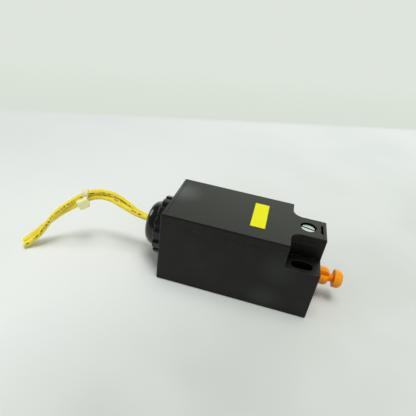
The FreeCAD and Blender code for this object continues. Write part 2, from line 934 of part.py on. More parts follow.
BARS = {"nc": ("nc_bar_rear", "nc_bar_front"), "no": ("no_bar_rear", "no_bar_front")}
PLATES = {
    "nc": ("nc_bar_front - plate_length", "nc_bar_front"),
    "no": ("no_bar_rear", "no_bar_rear + plate_length"),
}
TIPS = {"nc": "nc_fixed_face", "no": "no_bar_front"}
terminal_screws = []
clamp_plates = []
block_screws = []
screw_foot = "clamp_top - terminal_screw_length"
for side, sign in SIDES.items():

    def mirrored(low, high):
        """A span on this side of the middle, given on the right."""
        return (low, high) if sign == "1" else (f"-({high})", f"-({low})")

    for kind, (bar_rear, bar_front) in BARS.items():
        spot = f"{kind}_{side}"
        screw_at = (f"{sign} * terminal_x", f"{kind}_terminal_y")
        block_cuts.append(
            box(
                f"{spot}_bar_slot",
                mirrored("bar_inner - fit_clearance", "bar_inner + bar_width + fit_clearance"),
                (f"{bar_rear} - fit_clearance", f"{bar_front} + fit_clearance"),
                ("plunger_height - chamber_half", "block_top + 1"),
            )
        )
        block_cuts.append(
            rod(
                f"{spot}_screw_room",
                "terminal_hole",
                f"block_top + 1 - ({screw_foot} - screw_tip_room)",
                (*screw_at, f"{screw_foot} - screw_tip_room"),
            )
        )
        bar = box(
            f"{spot}_bar",
            mirrored("bar_inner", "bar_inner + bar_width"),
            (bar_rear, bar_front),
            ("plunger_height - bridge_width / 2", "plate_top"),
        )
        top = box(
            f"{spot}_plate",
            mirrored("bar_inner", "bar_inner + plate_width"),
            PLATES[kind],
            ("block_top", "plate_top"),
        )
        tip_at = (f"{sign} * tip_x", TIPS[kind], "plunger_height")
        tip = rod(f"{spot}_tip", "tip_diameter", "tip_height", tip_at, "y")
        below_plate = (*screw_at, "block_top - plate_thickness")
        tapped = rod(f"{spot}_tapped", "terminal_hole", "3 * plate_thickness", below_plate)
        label = f"{kind}_terminal_{side}"
        node(label, cut(label, fuse(f"{spot}_strip", bar, top, tip), tapped))
        head = rod(f"{spot}_head", "terminal_head_diameter", "terminal_head_height", (*screw_at, "clamp_top"))
        foot = (*screw_at, screw_foot)
        shank = rod(f"{spot}_shank", "terminal_screw_diameter", "terminal_screw_length", foot)
        driver_slot = box(
            f"{spot}_driver_slot",
            around(screw_at[0], "driver_slot_width / 2"),
            around(screw_at[1], "terminal_head_diameter"),
            ("clamp_top + terminal_head_height - driver_slot_depth", "clamp_top + 2 * terminal_head_height"),
        )
        terminal_screws.append(cut(f"{spot}_screw", fuse(f"{spot}_screw_solid", head, shank), driver_slot))
        washer = box(
            f"{spot}_washer",
            around(screw_at[0], "clamp_size / 2"),
            around(screw_at[1], "clamp_size / 2"),
            ("clamp_bottom", "clamp_top"),
        )
        below_clamp = (*screw_at, "clamp_bottom - clamp_thickness")
        washer_hole = rod(f"{spot}_washer_hole", "terminal_hole", "3 * clamp_thickness", below_clamp)
        clamp_plates.append(cut(f"{spot}_clamp", washer, washer_hole))

    screw_at = (f"{sign} * block_screw_spacing / 2", "block_screw_y")
    block_solids.append(
        box(
            f"block_ear_{side}",
            mirrored("ear_inner", "block_half"),
            ("block_front", "block_front + ear_length"),
            ("block_floor", "ear_top"),
        )
    )
    block_cuts.append(
        rod(
            f"block_ear_hole_{side}",
            "block_screw_diameter + 2 * slide_clearance",
            "3 * ear_thickness",
            (*screw_at, "block_floor - ear_thickness"),
        )
    )
    head = rod(f"block_head_{side}", "block_screw_head", "block_screw_head_height", (*screw_at, "ear_top"))
    foot = (*screw_at, "ear_top - block_screw_length")
    shank = rod(f"block_shank_{side}", "block_screw_diameter", "block_screw_length", foot)
    driver_slot = box(
        f"block_driver_slot_{side}",
        around(screw_at[0], "driver_slot_width / 2"),
        around(screw_at[1], "block_screw_head"),
        ("ear_top + block_screw_head_height - driver_slot_depth", "ear_top + 2 * block_screw_head_height"),
    )
    whole = fuse(f"block_screw_solid_{side}", head, shank)
    block_screws.append(cut(f"block_screw_{side}", whole, driver_slot))

spring_peg = rod("seat_peg", "peg_diameter", "peg_length", ("0", "spring_seat", "plunger_height"), "y")
block_body = cut("block_hollow", fuse("block_solid", *block_solids), *block_cuts)
node("contact_block", fuse("contact_block", block_body, spring_peg))
group("terminal_screws", terminal_screws)
group("clamp_plates", clamp_plates)
group("block_screws", block_screws)

# Contact carrier on the end of the plunger's shaft, with a window for each bridge
peg_start = ("0", "carrier_rear - peg_length", "plunger_height")
carrier = cut(
    "contact_carrier",
    fuse(
        "carrier_solid",
        box(
            "carrier_bar",
            both("carrier_half"),
            ("carrier_rear", "carrier_front"),
            around("plunger_height", "carrier_half"),
        ),
        rod("carrier_nose", "nose_diameter", "nose_length", ("0", "carrier_front", "plunger_height"), "y"),
        rod("carrier_peg", "peg_diameter", "peg_length", peg_start, "y"),
    ),
    box(
        "nc_window",
        both("carrier_width"),
        ("nc_window_rear", "nc_window_front"),
        around("plunger_height", "window_half"),
    ),
    box(
        "no_window",
        both("carrier_width"),
        ("no_window_rear", "no_window_front"),
        around("plunger_height", "window_half"),
    ),
)
node("contact_carrier", carrier)
for kind, tip_start in (("nc", "nc_bridge_front"), ("no", "no_bridge_rear - tip_height")):
    strip = box(
        f"{kind}_bridge_strip",
        both("bridge_length / 2"),
        (f"{kind}_bridge_rear", f"{kind}_bridge_front"),
        around("plunger_height", "bridge_width / 2"),
    )
    tips = []
    for side, sign in SIDES.items():
        start = (f"{sign} * tip_x", tip_start, "plunger_height")
        tips.append(rod(f"{kind}_bridge_tip_{side}", "tip_diameter", "tip_height", start, "y"))
    node(f"{kind}_bridge", fuse(f"{kind}_bridge", strip, *tips))
feature("nc_spring", coil_shape("contact_spring", size("nc_window_rear")))
feature("no_spring", coil_shape("contact_spring", size("no_bridge_front")))
feature("return_spring", coil_shape("return_spring", size("spring_seat")))

# Cable gland: a fluted domed cap that presses a ring and a seal into the bore
cap = turned_body(
    "gland_cap_body",
    [
        ("cap_bore / 2", "-cap_spigot"),
        ("spigot_diameter / 2", "-cap_spigot"),
        ("spigot_diameter / 2", "cap_gap"),
        ("cap_ring_diameter / 2", "cap_gap"),
        ("cap_ring_diameter / 2", "cap_ring_end"),
        ("cap_dome_diameter / 2", "cap_ring_end"),
        ("cap_dome_diameter / 2", "cap_reach"),
        ("cap_hole / 2", "cap_reach"),
        ("cap_hole / 2", "cap_reach - cap_front_wall"),
        ("cap_bore / 2", "cap_reach - cap_front_wall"),
    ],
)
soften(cap, "cap_dome_radius", "cap_dome_diameter", "cap_reach")
flute = sketch_on(cap, "cap_flute", "XZ_Plane")
flute.addGeometry(Part.Circle(Vector(-size("cap_ring_diameter") / 2, 0, 0), Vector(0, 0, 1), 1.0))
flute.addConstraint(Sketcher.Constraint("PointOnObject", 0, 3, -1))
hold(flute, "DistanceX", "cap_ring_diameter / 2 + flute_radius - flute_depth", 0, 3, -1, 1)
hold(flute, "Radius", "flute_radius", 0)
cut_round(cap, flute, "0", "cap_ring_end", "round(flute_count)")
ring_reach = size("cap_ring_diameter") / 2


def beside_flute(edge):
    """Tells the edges along the cap between its flutes and lobes."""
    outside = [abs(math.hypot(vertex.X, vertex.Z) - ring_reach) < TOUCH for vertex in edge.Vertexes]
    return isinstance(edge.Curve, Part.Line) and all(outside)


def on_ring_face(edge):
    """Tells the edges of the lobes and flutes on the ring's outer face."""
    level = [abs(vertex.Y - size("cap_ring_end")) < TOUCH for vertex in edge.Vertexes]
    return all(level) and edge.BoundBox.YLength < TOUCH and len(edge.Vertexes) == 2


round_edges(cap, "lobe_radius", beside_flute)
round_edges(cap, "cap_rim_radius", on_ring_face)
cap.Placement.Rotation = FreeCAD.Rotation(Vector(0, 0, 1), 180)
place(cap, ("0", "rear", "gland_height"))
node("gland_cap", cap)

thrust_start = ("0", "spigot_end", "gland_height")
node(
    "thrust_ring",
    tube("thrust_ring", "spigot_diameter", "lead_opening", "thrust_ring_thickness", thrust_start, "y"),
)
seal_length = "seal_face - thrust_face"
half_spacing = (size("wire_diameter") + size("pair_gap")) / 2
first = Vector(*WIRE_SIDES[0]) * half_spacing
lead_holes = []
for name, sign in (("lead_hole_1", 1), ("lead_hole_2", -1)):
    start = (f"{sign * first.x}", "thrust_face - 1", f"gland_height + pair_rise + {sign * first.z}")
    lead_holes.append(rod(name, "wire_diameter + 2 * fit_clearance", f"{seal_length} + 2", start, "y"))
seal_plug = rod("gland_plug", "spigot_diameter", seal_length, ("0", "thrust_face", "gland_height"), "y")
node("gland_seal", cut("gland_seal", seal_plug, *lead_holes))

# Two wires: each runs on the floor outside, and as a lead through the gland to its terminal
mouth = Vector(0, size("cap_front") + size("pair_start"), size("gland_height") + size("pair_rise"))
wire_diameter = size("wire_diameter")
conductors = []
for number, side, sign in ((1, "left", 1), (2, "right", -1)):
    route = []
    for spot, beside in zip(PAIR_ROUTE, WIRE_SIDES):
        route.append(mouth + Vector(*spot) + Vector(*beside) * (sign * half_spacing))
    feature(f"wire_{number}", cord_shape(f"wire_{number}", route, wire_diameter))
    outer = mouth + first * sign
    entry = Vector(-sign * size("conductor_x"), size("tower_rear"), size("conductor_z"))
    free = size("tower_rear") - size("collar_end")
    first_bend = size("collar_end") + free * size("lead_first_bend")
    second_bend = size("collar_end") + free * size("lead_second_bend")
    lead = [outer, Vector(outer.x, first_bend, outer.z), Vector(entry.x, second_bend, entry.z), entry]
    feature(f"lead_{number}", cord_shape(f"lead_{number}", lead, wire_diameter))
    conductors.append(
        rod(
            f"conductor_{number}",
            "conductor_diameter",
            "nc_terminal_y + clamp_size / 2 - tower_rear",
            (f"{SIDES[side]} * conductor_x", "tower_rear", "conductor_z"),
            "y",
        )
    )
group("lead_ends", conductors)

# Cable tie: a slanted band round both wires on one of their runs, with its head to one side,
# square to the wires
run_start, run_end = (mouth + Vector(*spot) for spot in TIED_RUN)
along = (run_end - run_start).normalize()
side_start, side_end = (Vector(*beside) * half_spacing for beside in TIED_SIDES)
spread = (side_start + side_end) * 0.5
spread = spread - along * spread.dot(along)
slant = math.radians(size("tie_slant"))
tie_width = size("tie_width")
inner_radius = wire_diameter / 2 + size("tie_clearance")
pair_half = (spread.Length + wire_diameter / 2) / math.cos(slant)
inner_half = pair_half + tie_width / 2 * math.tan(slant) + size("tie_clearance")
outer_radius = inner_radius + size("tie_thickness")
band = stadium_shape(inner_half + size("tie_thickness"), outer_radius, tie_width)
hole = stadium_shape(inner_half, inner_radius, 2 * tie_width)
hole.translate(Vector(0, 0, -tie_width / 2))
tie_head = Part.makeBox(
    size("tie_head_length"),
    size("tie_head_height") - size("tie_head_lift"),
    size("tie_head_width"),
    Vector(
        size("tie_head_rise") - inner_half - size("tie_thickness"),
        -inner_radius - size("tie_head_height"),
        size("tie_head_aside") - size("tie_head_width") / 2,
    ),
)
tie_head.rotate(tie_head.BoundBox.Center, Vector(0, 1, 0), -size("tie_slant"))
tie = feature("cable_tie", band.fuse(tie_head).cut(hole).removeSplitter())
normal = along.cross(spread).normalize()
slanted = FreeCAD.Rotation(normal, size("tie_slant"))
along = slanted.multVec(along)
spread = slanted.multVec(spread.normalize())
middle = run_start + (run_end - run_start) * size("tie_place")
tie.Placement = FreeCAD.Placement(
    FreeCAD.Matrix(
        spread.x, normal.x, along.x, middle.x,
        spread.y, normal.y, along.y, middle.y,
        spread.z, normal.z, along.z, middle.z,
        0, 0, 0, 1,
    )
)

# Every object of the model is sound before its parts are written
doc.recompute()
for thing in doc.Objects:
    if {"Invalid", "Error"} & set(thing.State):
        raise RuntimeError(f"{thing.Label} is in state {thing.State}")
os.makedirs("parts", exist_ok=True)
for label, thing in NODES.items():
    shape = thing.Shape
    if shape.isNull() or not shape.isValid():
        raise RuntimeError(f"{label} has no sound shape")
    shape.exportStep(f"parts/{label}.step")
    print(f"{label}: {len(shape.Solids)} solid(s), {shape.Volume:.1f} cubic millimetres")
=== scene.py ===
# %% [markdown]
# A door position switch is a black moulded box that a machine guard presses on. An orange
# plunger stands out of its front, a fluted cable gland closes its rear, and two yellow wires
# leave the gland under a nylon tie. The packed CAD model comes first and is never moved:
# Blender adds the finishes, the wires, the tie and the springs in the same frame, in metres.

# %% Load the packed switch
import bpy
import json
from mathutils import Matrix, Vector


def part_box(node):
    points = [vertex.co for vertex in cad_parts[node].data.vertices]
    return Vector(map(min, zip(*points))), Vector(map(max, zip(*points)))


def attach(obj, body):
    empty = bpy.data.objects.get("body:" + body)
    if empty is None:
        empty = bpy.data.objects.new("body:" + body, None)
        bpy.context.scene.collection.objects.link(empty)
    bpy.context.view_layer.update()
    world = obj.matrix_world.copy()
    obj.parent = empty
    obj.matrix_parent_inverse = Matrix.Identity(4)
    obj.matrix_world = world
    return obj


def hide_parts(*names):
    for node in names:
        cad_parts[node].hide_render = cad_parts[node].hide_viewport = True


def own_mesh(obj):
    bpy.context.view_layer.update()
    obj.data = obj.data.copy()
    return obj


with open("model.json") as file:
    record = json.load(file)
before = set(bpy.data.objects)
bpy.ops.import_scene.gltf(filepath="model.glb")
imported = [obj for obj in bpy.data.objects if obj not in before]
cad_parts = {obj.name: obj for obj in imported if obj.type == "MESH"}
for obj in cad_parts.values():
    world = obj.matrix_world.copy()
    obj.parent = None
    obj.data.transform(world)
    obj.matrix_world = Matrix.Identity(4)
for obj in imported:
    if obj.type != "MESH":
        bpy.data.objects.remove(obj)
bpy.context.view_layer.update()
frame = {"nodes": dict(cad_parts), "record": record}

import json
import math

import bmesh
import bpy
from mathutils import Matrix, Vector

MM = 0.001
scene = bpy.context.scene
scene.view_settings.view_transform = "Standard"

# %% [markdown]
# The camera stands close to the switch, on its right, and looks down at it by about 30
# degrees. Its place was found from the straight edges of the case in the photograph, so the
# picture has the same perspective, and nothing has to be fitted by eye. A camera aimed at
# the middle of the switch would be quicker to set up, but the edges would not fall together.

# %% Camera
CAMERA_PLACE = (0.1551441, 0.0058589, 0.1316985)
CAMERA_TURN = (58.40093, -7.41375, 104.11719)
SENSOR_WIDTH = 36.0
LENS = 31.57
NEAREST_SHOWN = 0.01

camera = bpy.data.objects.new("photo_camera", bpy.data.cameras.new("photo_camera"))
camera.location = CAMERA_PLACE
camera.rotation_euler = [math.radians(angle) for angle in CAMERA_TURN]
camera.data.sensor_fit = "HORIZONTAL"
camera.data.sensor_width = SENSOR_WIDTH
camera.data.lens = LENS
camera.data.clip_start = NEAREST_SHOWN
scene.collection.objects.link(camera)
scene.camera = camera
print("camera distance:", round(camera.location.length, 3))

# %% [markdown]
# Each wire is a fixed length of copper in yellow plastic, stiff enough to keep the hump that
# it was bent to. A chain of cylinders would show its corners. A NURBS curve passes smoothly
# by its control points, and its round bevel gives the wire its thickness, so a few points
# describe the whole run. Order 3 and the end points are set after the points exist.

# %% Wires
WIRE_THICKNESS = 2.8 * MM
STEPS_ALONG = 16
STEPS_ROUND = 6
WIRE_RUNS = {
    "wire_1": [
        (-1.28, -47.0, 19.92),
        (-1.44, -56.09, 20.5),
        (-1.43, -64.87, 26.63),
        (0.03, -74.05, 31.16),
        (2.9, -83.54, 30.46),
        (7.88, -91.82, 25.0),
        (13.72, -98.41, 19.28),
        (18.47, -102.47, 11.05),
        (21.3, -106.45, 5.2),
        (24.83, -110.67, 1.73),
    ],
    "wire_2": [
        (1.28, -47.0, 21.48),
        (1.44, -55.91, 21.7),
        (1.43, -65.53, 25.37),
        (0.78, -74.95, 28.25),
        (2.9, -82.86, 27.54),
        (7.12, -90.58, 22.4),
        (11.28, -97.99, 17.12),
        (15.53, -104.33, 10.75),
        (19.5, -108.75, 5.8),
        (22.97, -112.53, 2.87),
    ],
}


def wire_line(name, run):
    curve = bpy.data.curves.new(name, "CURVE")
    curve.dimensions = "3D"
    spline = curve.splines.new("NURBS")
    spline.points.add(len(run) - 1)
    for control, point in zip(spline.points, run):
        control.co = (*(Vector(point) * MM), 1.0)
    spline.order_u = 3
    spline.use_endpoint_u = True
    spline.resolution_u = STEPS_ALONG
    wire = bpy.data.objects.new(name, curve)
    scene.collection.objects.link(wire)
    return wire


def points_along(wire):
    mesh = bpy.data.meshes.new_from_object(wire)
    points = [vertex.co.copy() for vertex in mesh.vertices]
    bpy.data.meshes.remove(mesh)
    return points


wires = {}
wire_points = {}
wire_lengths = {}
for node_name, run in WIRE_RUNS.items():
    wire = wire_line(f"yellow_{node_name}", run)
    points = points_along(wire)
    wire.data.bevel_depth = WIRE_THICKNESS / 2
    wire.data.bevel_resolution = STEPS_ROUND
    wire.data.use_fill_caps = True
    wires[node_name] = wire
    wire_points[node_name] = points
    wire_lengths[node_name] = sum((b - a).length for a, b in zip(points, points[1:]))
    print(node_name, "length in mm:", round(wire_lengths[node_name] / MM, 1))

# %% [markdown]
# The floor is a plain pale sheet. Far behind the switch it turns into the slightly greener
# tone of a wall, so one flat plane gives both and no wall blocks the view from behind. Its
# far part shows that tone to the camera and to reflections directly. The near part is an
# ordinary matt surface, because the soft shadow of the switch has to fall on it.

# %% Floor
FLOOR_HALF = 6.0
FLOOR_GAP = 0.05 * MM

floor_mesh = bpy.data.meshes.new("pale_floor")
floor_corners = [
    (x * FLOOR_HALF, y * FLOOR_HALF, -FLOOR_GAP) for x, y in ((-1, -1), (1, -1), (1, 1), (-1, 1))
]
floor_mesh.from_pydata(floor_corners, [], [(0, 1, 2, 3)])
floor = bpy.data.objects.new("pale_floor", floor_mesh)
scene.collection.objects.link(floor)
print("floor side in m:", 2 * FLOOR_HALF)

# %% [markdown]
# A finish is a graph of nodes. Writing out every link would bury the idea of each finish, so
# a small class adds nodes and joins them. It takes a number, a colour or the result of
# another node alike, and has a short name for each of the few sums that finishes need.


# %% A helper for node graphs
class Graph:
    def __init__(self, tree):
        self.tree = tree
        self.coordinates = tree.nodes.new("ShaderNodeTexCoord")

    def feed(self, socket, value):
        if isinstance(value, bpy.types.NodeSocket):
            self.tree.links.new(value, socket)
        elif socket.type == "RGBA":
            socket.default_value = (*value, 1.0)
        else:
            socket.default_value = value

    def add(self, kind, values=(), **settings):
        node = self.tree.nodes.new(f"ShaderNode{kind}")
        for setting, value in settings.items():
            setattr(node, setting, value)
        for socket, value in values:
            self.feed(node.inputs[socket], value)
        return node

    def number(self, operation, first, second=0.0):
        return self.add("Math", [(0, first), (1, second)], operation=operation).outputs[0]

    def times(self, first, second):
        return self.number("MULTIPLY", first, second)

    def plus(self, first, second):
        return self.number("ADD", first, second)

    def larger(self, first, second):
        return self.number("MAXIMUM", first, second)

    def vector(self, operation, first, second=(0.0, 0.0, 0.0)):
        node = self.add("VectorMath", [(0, first), (1, second)], operation=operation)
        return next(output for output in node.outputs if output.enabled)

    def parts(self, vector):
        return self.add("SeparateXYZ", [("Vector", vector)]).outputs

    def span(self, value, before, after=(0.0, 1.0)):
        values = [("Value", value), ("From Min", before[0]), ("From Max", before[1])]
        values += [("To Min", after[0]), ("To Max", after[1])]
        return self.add("MapRange", values, interpolation_type="SMOOTHSTEP").outputs["Result"]


print("node graph helper:", [name for name in vars(Graph) if not name.startswith("_")])

# %% [markdown]
# The second class is a graph that ends in the Principled shader. A value that is the same
# all over goes straight into the shader's own socket, and only what varies over the surface
# is a node. Object coordinates are the frame's own metres on a CAD node, so a mark can be
# put at a measured place. Bevel and Ambient Occlusion find edges and hollows by themselves.

# %% A helper for finishes
BEVEL_SAMPLES = 6
HOLLOW_SAMPLES = 8


class Finish(Graph):
    def __init__(self, name, **constants):
        self.material = bpy.data.materials.new(name)
        self.material.use_nodes = True
        super().__init__(self.material.node_tree)
        self.shader = self.tree.nodes["Principled BSDF"]
        for socket, value in constants.items():
            self.set(socket.replace("_", " "), value)

    def set(self, socket, value):
        self.feed(self.shader.inputs[socket], value)

    def spot(self):
        return self.coordinates.outputs["Object"]

    def noise(self, scale, detail=2.0, roughness=0.5, place=None):
        values = [("Vector", self.spot() if place is None else place), ("Scale", scale)]
        values += [("Detail", detail), ("Roughness", roughness)]
        return self.add("TexNoise", values).outputs["Fac"]

    def dots(self, scale):
        values = [("Vector", self.spot()), ("Scale", scale)]
        return self.add("TexVoronoi", values).outputs["Distance"]

    def blend(self, share, first, second):
        node = self.add("Mix", data_type="RGBA")
        for socket, value in ((0, share), (6, first), (7, second)):
            self.feed(node.inputs[socket], value)
        return node.outputs[2]

    def near(self, place, reach):
        away = self.vector("DISTANCE", self.spot(), place)
        return self.span(away, (0.0, reach), (1.0, 0.0))

    def openness(self, reach, **settings):
        settings["samples"] = HOLLOW_SAMPLES
        return self.add("AmbientOcclusion", [("Distance", reach)], **settings).outputs["AO"]

    def normal(self):
        return self.add("NewGeometry").outputs["Normal"]

    def soft_normal(self, radius):
        return self.add("Bevel", [("Radius", radius)], samples=BEVEL_SAMPLES).outputs["Normal"]

    def flatness(self, radius):
        return self.vector("DOT_PRODUCT", self.soft_normal(radius), self.normal())

    def relief(self, *heights, edge=None):
        normal = self.soft_normal(edge) if edge else None
        for height, depth in heights:
            bump = self.add("Bump", [("Height", height), ("Strength", 1.0), ("Distance", depth)])
            if normal is not None:
                self.feed(bump.inputs["Normal"], normal)
            normal = bump.outputs["Normal"]
        self.set("Normal", normal)


print("finish helper:", [name for name in vars(Finish) if not name.startswith("_")])

# %% [markdown]
# The floor's finish: the distance behind the wall's edge decides whether a spot is floor or
# wall. The floor's tone carries painted light and shade: it is painted paler at the left, by
# the wires, and painted darker to the right and towards the wall. A painted shadow lies in a
# pool near the camera, and the wall has painted shade at its foot. A faint, wide cloud keeps
# the sheet from looking like a flat fill. Light Path tells camera and mirror rays apart from
# the light that falls on the switch, so the pale wall adds no light to it.

# %% Floor finish
WALL_LINE = (Vector((-0.1445, -0.265)), Vector((-0.382, 0.182)))
WALL_BLUR = 0.008
WALL_FOOT_HEIGHT = 0.3
WALL_TONE = (0.735, 0.785, 0.715)
# Painted shade: the wall is darker at its foot.
WALL_FOOT_PAINTED_SHADE_TONE = (0.695, 0.75, 0.67)
# Painted light and shade on the floor: lighter at the left, darker at the right and far off.
LEFT_TO_RIGHT = (-0.11, 0.06)
LEFT_PAINTED_LIGHT_TONE = (0.87, 0.895, 0.865)
RIGHT_PAINTED_SHADE_TONE = (0.65, 0.685, 0.635)
FAR_PAINTED_SHADE_TONE = (0.735, 0.765, 0.755)
CLOUD_TONE = (0.80, 0.82, 0.81)
# A painted shadow: a darker pool on the floor near the camera.
PAINTED_SHADOW_TONE = (0.555, 0.59, 0.545)
PAINTED_SHADOW_PLACE = (0.1, -0.014, 0.0)
PAINTED_SHADOW_REACH = 0.09

pale = Finish("pale_floor", Roughness=0.55)
along_wall = (WALL_LINE[1] - WALL_LINE[0]).normalized()
towards_wall = Vector((-along_wall.y, along_wall.x))
wall_start = WALL_LINE[0].dot(towards_wall)
behind = pale.vector("DOT_PRODUCT", pale.spot(), (*towards_wall, 0.0))
across = pale.parts(pale.spot())["Y"]
# The floor's tone with its painted light, painted shade and painted shadow.
floor_tone_with_painted_light = pale.blend(pale.span(across, LEFT_TO_RIGHT), LEFT_PAINTED_LIGHT_TONE, RIGHT_PAINTED_SHADE_TONE)
floor_tone_with_painted_light = pale.blend(pale.span(behind, (0.0, wall_start)), floor_tone_with_painted_light, FAR_PAINTED_SHADE_TONE)
floor_tone_with_painted_light = pale.blend(pale.near(PAINTED_SHADOW_PLACE, PAINTED_SHADOW_REACH), floor_tone_with_painted_light, PAINTED_SHADOW_TONE)
cloud = pale.span(pale.noise(scale=9.0, detail=3.0), (0.35, 0.65), (0.0, 0.5))
pale.set("Base Color", pale.blend(cloud, floor_tone_with_painted_light, CLOUD_TONE))

ray = pale.add("LightPath").outputs
mirrored = pale.larger(ray["Is Glossy Ray"], ray["Is Transmission Ray"])
seen_straight = pale.larger(ray["Is Camera Ray"], mirrored)
wall_edge = pale.span(behind, (wall_start - WALL_BLUR, wall_start + WALL_BLUR))
wall_share = pale.times(seen_straight, wall_edge)
# The wall's tone, with painted shade at its foot.
up_the_wall = pale.span(behind, (wall_start, wall_start + WALL_FOOT_HEIGHT))
wall_tone_with_painted_foot_shade = pale.blend(up_the_wall, WALL_FOOT_PAINTED_SHADE_TONE, WALL_TONE)
wall_glow = pale.add("Emission", [("Color", wall_tone_with_painted_foot_shade), ("Strength", 1.0)]).outputs[0]
choices = [(0, wall_share), (1, pale.shader.outputs[0]), (2, wall_glow)]
floor_or_wall = pale.add("MixShader", choices).outputs[0]
pale.feed(pale.tree.nodes["Material Output"].inputs["Surface"], floor_or_wall)
floor.data.materials.append(pale.material)
print("wall edge lies", round(wall_start, 3), "m behind the switch")

# %% [markdown]
# The lamps are those of a photo table: a soft source overhead and a smaller one a little to
# the camera's side, which draws the faint shadow of the wires. Sun lamps keep the same
# strength all over the floor, while area lamps so near would fade.

# %% Lamps
OVERHEAD = {"strength": 1.2, "width": 36, "tilt": (-2, 0, 0)}
SMALL = {"strength": 0.8, "width": 18, "tilt": (-6, 9, 0)}


def sun(name, strength, width, tilt):
    lamp = bpy.data.objects.new(name, bpy.data.lights.new(name, "SUN"))
    lamp.data.energy = strength
    lamp.data.angle = math.radians(width)
    lamp.rotation_euler = [math.radians(angle) for angle in tilt]
    lamp.visible_glossy = False
    scene.collection.objects.link(lamp)
    print(name, "strength:", strength, "width in degrees:", width)


sun("overhead_light", **OVERHEAD)
sun("small_light", **SMALL)

# %% [markdown]
# The rest of the light comes from the room. As soft light it is stronger from the camera's
# side. What shiny surfaces mirror is set apart from it: bright towards the wall and dim
# behind the camera. That is why the top of a black case looks grey, as it mirrors the wall,
# and its near side looks almost black. A tall window to the left shows only in mirroring
# surfaces, as the narrow streak on the gland's dome. A world with one even strength would
# be simpler, but it makes a black part look flat.

# %% Surroundings
TOWARDS_ROOM_WALL = (-0.94, 0.34, 0.0)
TOWARDS_WINDOW = Vector((-0.22, -0.91, 0.34)).normalized()
WINDOW_EDGE = (0.972, 0.988)
WINDOW_STRENGTH = 8.0
ROOM_TINT = (0.97, 1.0, 0.98)
SOFT_SPREAD, SOFT_STRENGTH = (-0.8, 0.8), (0.54, 0.2)
MIRRORED_SPREAD, MIRRORED_STRENGTH = (0.25, 0.9), (0.16, 2.27)

world = bpy.data.worlds.new("pale_room")
scene.world = world
world.use_nodes = True
room = Graph(world.node_tree)


def background(tone, strength):
    return room.add("Background", [("Color", tone), ("Strength", strength)]).outputs[0]


def either(share, first, second):
    return room.add("MixShader", [(0, share), (1, first), (2, second)]).outputs[0]


facing = room.coordinates.outputs["Generated"]
ray = room.add("LightPath").outputs
walled = room.vector("DOT_PRODUCT", facing, TOWARDS_ROOM_WALL)
windowed = room.vector("DOT_PRODUCT", facing, TOWARDS_WINDOW)
soft_light = room.span(walled, SOFT_SPREAD, SOFT_STRENGTH)
mirrored_light = room.span(walled, MIRRORED_SPREAD, MIRRORED_STRENGTH)
window_light = room.span(windowed, WINDOW_EDGE, (0.0, WINDOW_STRENGTH))
fill = background(ROOM_TINT, soft_light)
mirrored = background(WALL_TONE, room.plus(mirrored_light, window_light))
backdrop = background(WALL_TONE, 1.0)
around = either(ray["Is Glossy Ray"], fill, mirrored)
shown = room.larger(ray["Is Camera Ray"], ray["Is Transmission Ray"])
room.feed(world.node_tree.nodes["World Output"].inputs["Surface"], either(shown, around, backdrop))
print("world nodes:", len(world.node_tree.nodes))

# %% [markdown]
# The case and its cover are moulded from a glass filled plastic, nearly black with a warm
# grey sheen. The mould leaves a fine grain and hands leave cloudy smudges. Corners are painted
# a little paler, as rubbed wear and as painted highlights, and hollows are darker as painted
# shade. A smudge is greasy dust, so it is lighter and duller at once. The larger smudges have
# measured places, and the rest is noise. Real rounds of the case come from CAD, and the
# Bevel node breaks the sharp seams and finds the corners for the paler tone.

# %% Case finish
CASE_DARK, CASE_PALE = (0.0052, 0.005, 0.0032), (0.0092, 0.0092, 0.0062)
SMUDGE_TONE = (0.04, 0.043, 0.041)
REAR_PATCH_TONE = (0.066, 0.074, 0.07)
# Painted shade in the hollows of the case.
HOLLOW_PAINTED_SHADE_TONE = (0.0015, 0.0015, 0.001)
# Paler edges: partly real wear, partly painted edge highlights.
EDGE_WEAR_AND_HIGHLIGHT_TONE = (0.075, 0.076, 0.07)
DUST_TONE = (0.16, 0.165, 0.155)
REAR_PATCH = (-0.0055, -0.0355, 0.039)
SIDE_PATCHES = (((0.02, 0.0165, 0.0045), 0.62), ((0.02, 0.02, 0.0245), 0.42))
PATCH_REACH = 13 * MM
HOLLOW_SHADE_REACH = 14 * MM
EDGE_WEAR_AND_HIGHLIGHT_RADIUS = 0.5 * MM
HANDLING_STRENGTH = 0.12
EDGE_WEAR_AND_HIGHLIGHT_STRENGTH = 0.75
DUST_STRENGTH = 0.6
SMUDGE_DULLNESS = 0.12

case = Finish("case_plastic", Specular_IOR_Level=0.28)
grain = case.noise(scale=4200.0, detail=2.0, roughness=0.6)
speckle = case.span(case.dots(scale=620.0), (0.0, 0.12), (1.0, 0.0))
dust = case.times(speckle, case.span(case.noise(scale=160.0, detail=1.0), (0.62, 0.7)))
handling = case.span(case.noise(scale=85.0, detail=5.0, roughness=0.62), (0.42, 0.72))
smudge = case.times(handling, HANDLING_STRENGTH)
for patch, strength in SIDE_PATCHES:
    smudge = case.larger(smudge, case.times(case.near(patch, PATCH_REACH), strength))
# Painted shade: hollows found by ambient occlusion are darkened.
painted_hollow_shade = case.span(case.openness(HOLLOW_SHADE_REACH), (0.3, 0.8), (0.9, 0.0))
# Edges found by Bevel are painted paler in patches, as wear and as painted highlights.
edge_patchiness = case.span(case.noise(scale=420.0, detail=3.0), (0.4, 0.62))
edge_wear_and_highlight = case.times(case.span(case.flatness(EDGE_WEAR_AND_HIGHLIGHT_RADIUS), (0.80, 0.985), (1.0, 0.0)), edge_patchiness)

